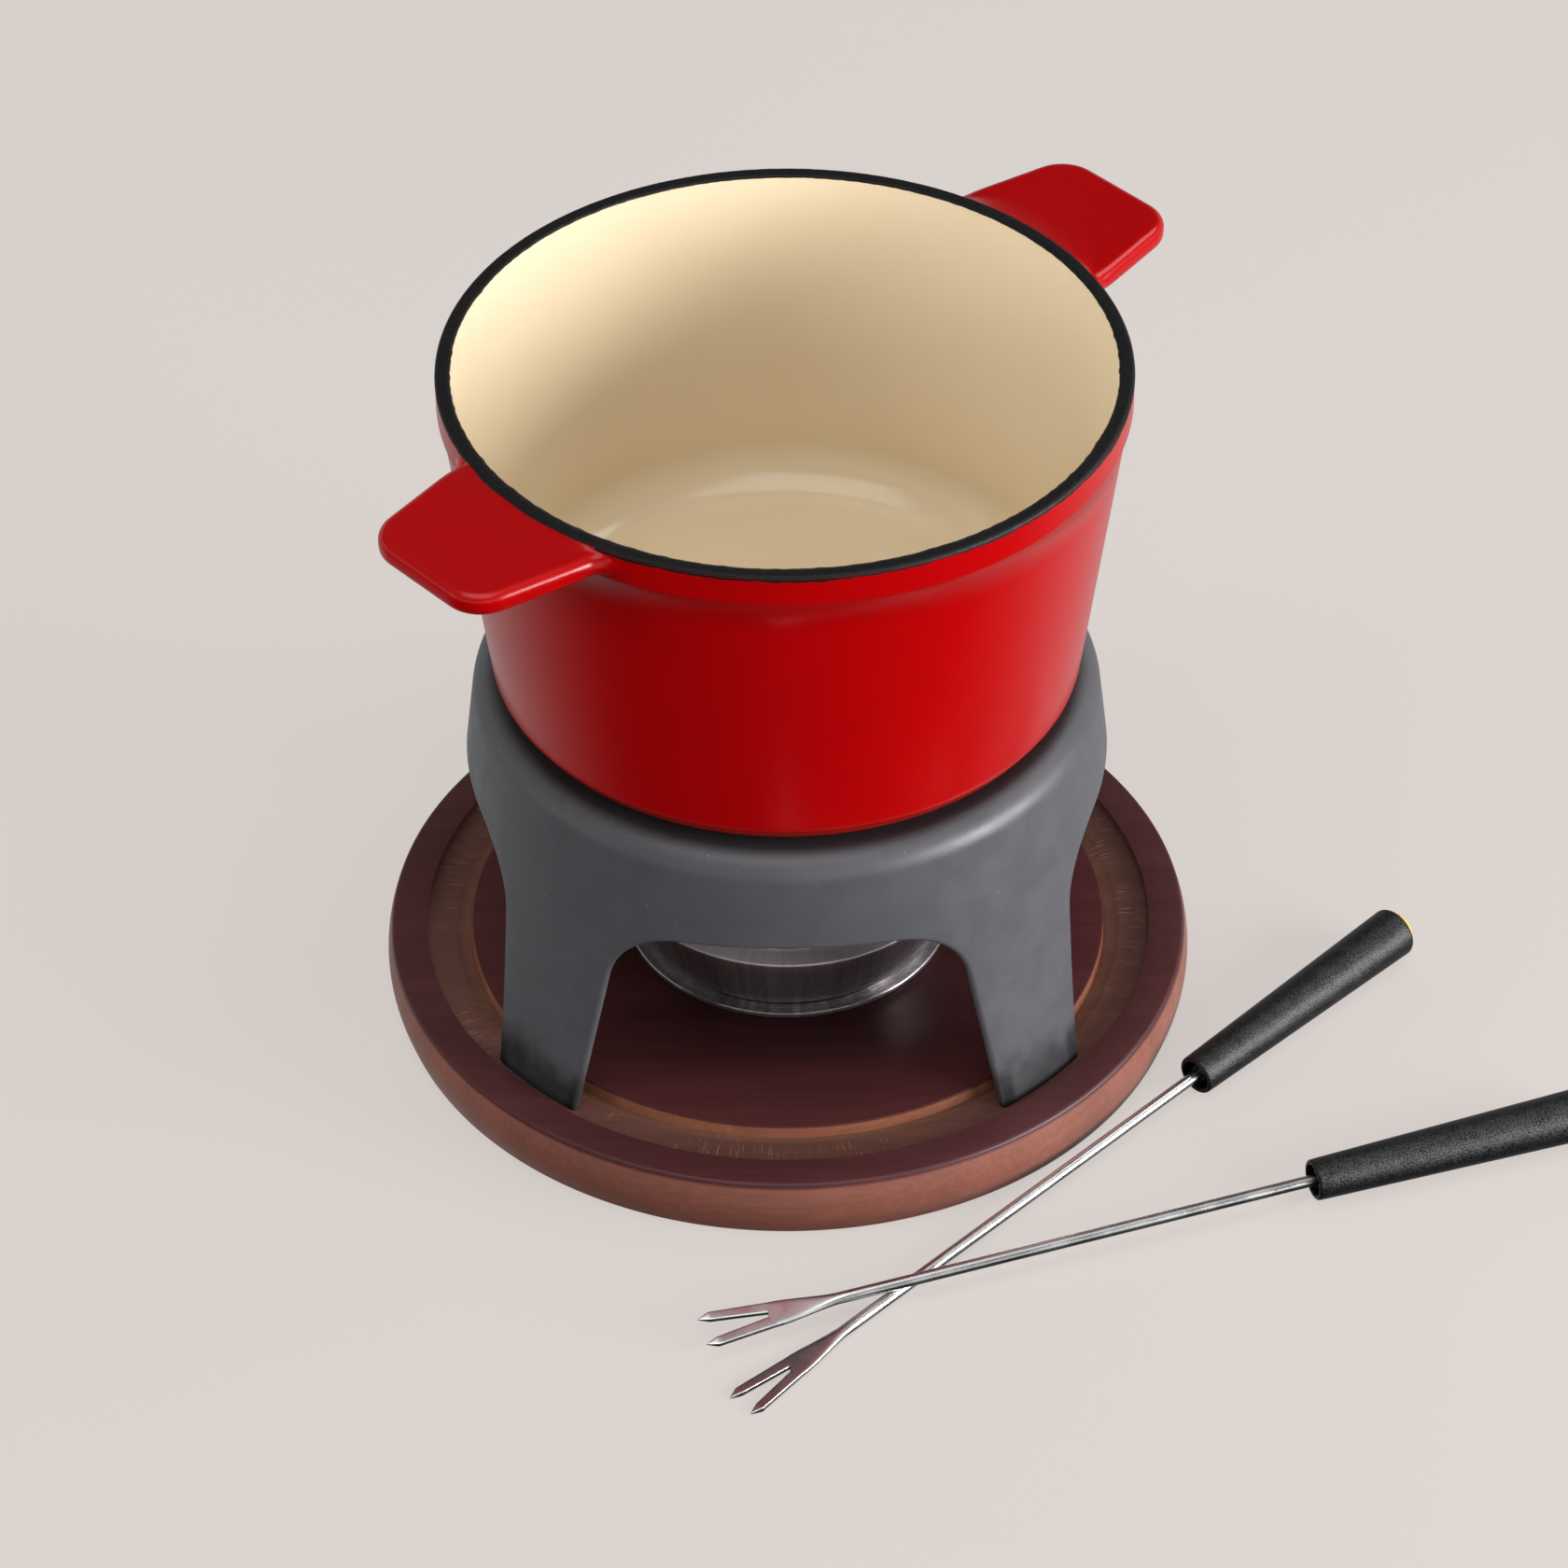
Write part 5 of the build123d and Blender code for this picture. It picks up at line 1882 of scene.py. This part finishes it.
@dataclass
class ForkPair:
    """The two forks, the second lying across the first."""

    bench: Bench
    turns: tuple[float, float] = (43.7, 18.4)
    lines: tuple[float, float] = (116.4, 136.5)
    tips: tuple[float, float] = (-129.3, -69.6)
    roll: float = 14.0
    gap: float = 0.3

    def build(self) -> None:
        """Works out how the second fork leans on the first, then makes both."""
        first = Fork(
            self.bench, "fork_1", "yellow_plastic", self.turns[0], self.lines[0], self.tips[0], 0.0, 0.0)
        low = first.thickness / 2
        first.tip_z = low
        first.rise = math.degrees(
            math.asin((first.front_radius - low) / (first.length - first.handle_length)))
        between = math.radians(self.turns[0] - self.turns[1])
        cross_1 = (self.lines[0] * math.cos(between) - self.lines[1]) / math.sin(between) - self.tips[0]
        cross_2 = (self.lines[0] - self.lines[1] * math.cos(between)) / math.sin(between) - self.tips[1]
        cross_z = low + cross_1 * math.sin(math.radians(first.rise)) + 2 * first.shaft_radius + self.gap
        rise = math.asin((first.rear_radius - cross_z) / (first.length - cross_2))
        tip_z = cross_z - cross_2 * math.sin(rise)
        first.build()
        Fork(
            self.bench, "fork_2", "blue_plastic", self.turns[1], self.lines[1], self.tips[1], tip_z,
            math.degrees(rise), self.roll).build()


# ---------------------------------------------------------------- studio
@dataclass(frozen=True)
class SoftLight:
    """A rectangular light: its place and size in metres, and its power in watts."""

    name: str
    at: tuple[float, float, float]
    size: tuple[float, float]
    power: float
    reflected: bool = True


@dataclass
class Studio:
    """Pale floor, soft lights and the camera."""

    target: Vector = field(default_factory=lambda: Vector((-0.00084, 0.0, 0.0638)))
    distance: float = 1.553
    elevation: float = 39.94
    roll: float = -0.35
    lens: float = 130.586
    floor_colour: Colour = (0.125, 0.117, 0.111, 1.0)
    floor_glow: Colour = (0.550, 0.510, 0.487, 1.0)
    floor_half: float = 6.0
    low_sky: float = 0.10
    high_sky: float = 0.22
    dark: float = 0.15
    bounce: float = 0.45
    horizon: float = 0.60
    aim: tuple[float, float, float] = (0, 0, 0.1)
    lights: tuple[SoftLight, ...] = (
        SoftLight("key", (1.26, -0.52, 0.36), (0.9, 0.6), 32.0),
        SoftLight("over", (-0.15, -0.45, 1.6), (1.4, 1.2), 10.0),
        SoftLight("rear", (0.95, 0.50, 1.15), (0.6, 0.6), 4.0),
        SoftLight("back", (-0.5, 1.5, 0.9), (1.0, 0.8), 7.0, reflected=False),
        SoftLight("front", (0.35, -1.6, 0.50), (0.9, 0.5), 6.0, reflected=False),
        SoftLight("fill", (-1.25, -0.45, 0.55), (0.3, 0.8), 8.0, reflected=False),
    )

    def camera(self) -> None:
        """Places the camera."""
        tilt, roll = math.radians(self.elevation), math.radians(self.roll)
        back = Vector((0.0, -math.cos(tilt), math.sin(tilt)))
        right, up = Vector((1.0, 0.0, 0.0)), Vector((0.0, math.sin(tilt), math.cos(tilt)))
        side = right * math.cos(roll) + up * math.sin(roll)
        top = up * math.cos(roll) - right * math.sin(roll)
        data = bpy.data.cameras.new("camera")
        data.lens, data.sensor_width, data.clip_start, data.clip_end = self.lens, 36.0, 0.05, 20.0
        made = bpy.data.objects.new("camera", data)
        bpy.context.scene.collection.objects.link(made)
        turn = Matrix((side, top, back)).transposed().to_4x4()
        made.matrix_world = Matrix.Translation(self.target + back * self.distance) @ turn
        bpy.context.scene.camera = made

    def light(self, lamp: SoftLight) -> None:
        """Adds a soft light that faces the object.

        Args:
            lamp: what it is and where it stands.
        """
        data = bpy.data.lights.new(lamp.name, "AREA")
        data.shape, data.size, data.size_y, data.energy = "RECTANGLE", *lamp.size, lamp.power
        made = bpy.data.objects.new(lamp.name, data)
        made.location = lamp.at
        made.rotation_euler = (Vector(self.aim) - Vector(lamp.at)).to_track_quat("-Z", "Y").to_euler()
        made.visible_glossy = lamp.reflected
        bpy.context.scene.collection.objects.link(made)

    def world(self) -> None:
        """Makes the sky: dim above, a pale glow along the horizon, darker below and towards the back."""
        world = bpy.data.worlds.new("studio")
        bpy.context.scene.world = world
        world.use_nodes = True
        t = Tree(world.node_tree)
        background = next(n for n in world.node_tree.nodes if n.bl_idname == "ShaderNodeBackground")
        axes = t.axes(t.node("ShaderNodeTexCoord").outputs["Generated"])
        lift = t.ramp(axes[2], -0.10, 0.12, self.dark, 1.0)
        away = t.ramp(axes[1], 0.25, 0.75, 1.0, self.dark)
        above = t.times(t.ramp(axes[2], 0.1, 0.9, self.low_sky, self.high_sky), t.times(lift, away))
        behind = t.ramp(axes[1], -0.25, 0.55, 0.0, self.bounce)
        below = t.ramp(axes[2], -0.25, 0.0, 1.0, 0.0)
        glow = t.times(
            t.ramp(axes[2], 0.14, 0.36, self.horizon, 0.0), t.ramp(axes[2], -0.05, 0.0, 0.0, 1.0))
        sky = t.plus(above, glow)
        t.put(background.inputs["Strength"], t.plus(sky, t.times(behind, below)))
        background.inputs["Color"].default_value = (1.0, 0.985, 0.97, 1.0)

    def build(self) -> None:
        """Makes the floor, lights, world and camera."""
        bpy.context.scene.view_settings.view_transform = "Standard"
        mesh = bpy.data.meshes.new("floor")
        half = self.floor_half
        corners = [(-half, -half, 0), (half, -half, 0), (half, half, 0), (-half, half, 0)]
        mesh.from_pydata(corners, [], [(0, 1, 2, 3)])
        floor = Bench.link("floor", mesh)
        material = bpy.data.materials.new("floor")
        material.use_nodes = True
        shader = next(n for n in material.node_tree.nodes if n.bl_idname == "ShaderNodeBsdfPrincipled")
        shader.inputs["Base Color"].default_value = self.floor_colour
        shader.inputs["Emission Color"].default_value = self.floor_glow
        shader.inputs["Emission Strength"].default_value = 1.0
        shader.inputs["Roughness"].default_value = 0.9
        shader.inputs["Specular IOR Level"].default_value = 0.1
        mesh.materials.append(material)
        floor.visible_glossy = False
        floor.visible_diffuse = False
        self.world()
        for lamp in self.lights:
            self.light(lamp)
        self.camera()


def main() -> None:
    """Builds the set, piece by piece, then the studio."""
    logging.basicConfig(level=logging.INFO, format="%(message)s")
    bench = Bench(Paints())
    WoodenBase(bench).build()
    Stand(bench).build()
    Pot(bench).build()
    Burner(bench).build()
    ForkPair(bench).build()
    Studio().build()


if __name__ == "__main__":
    main()
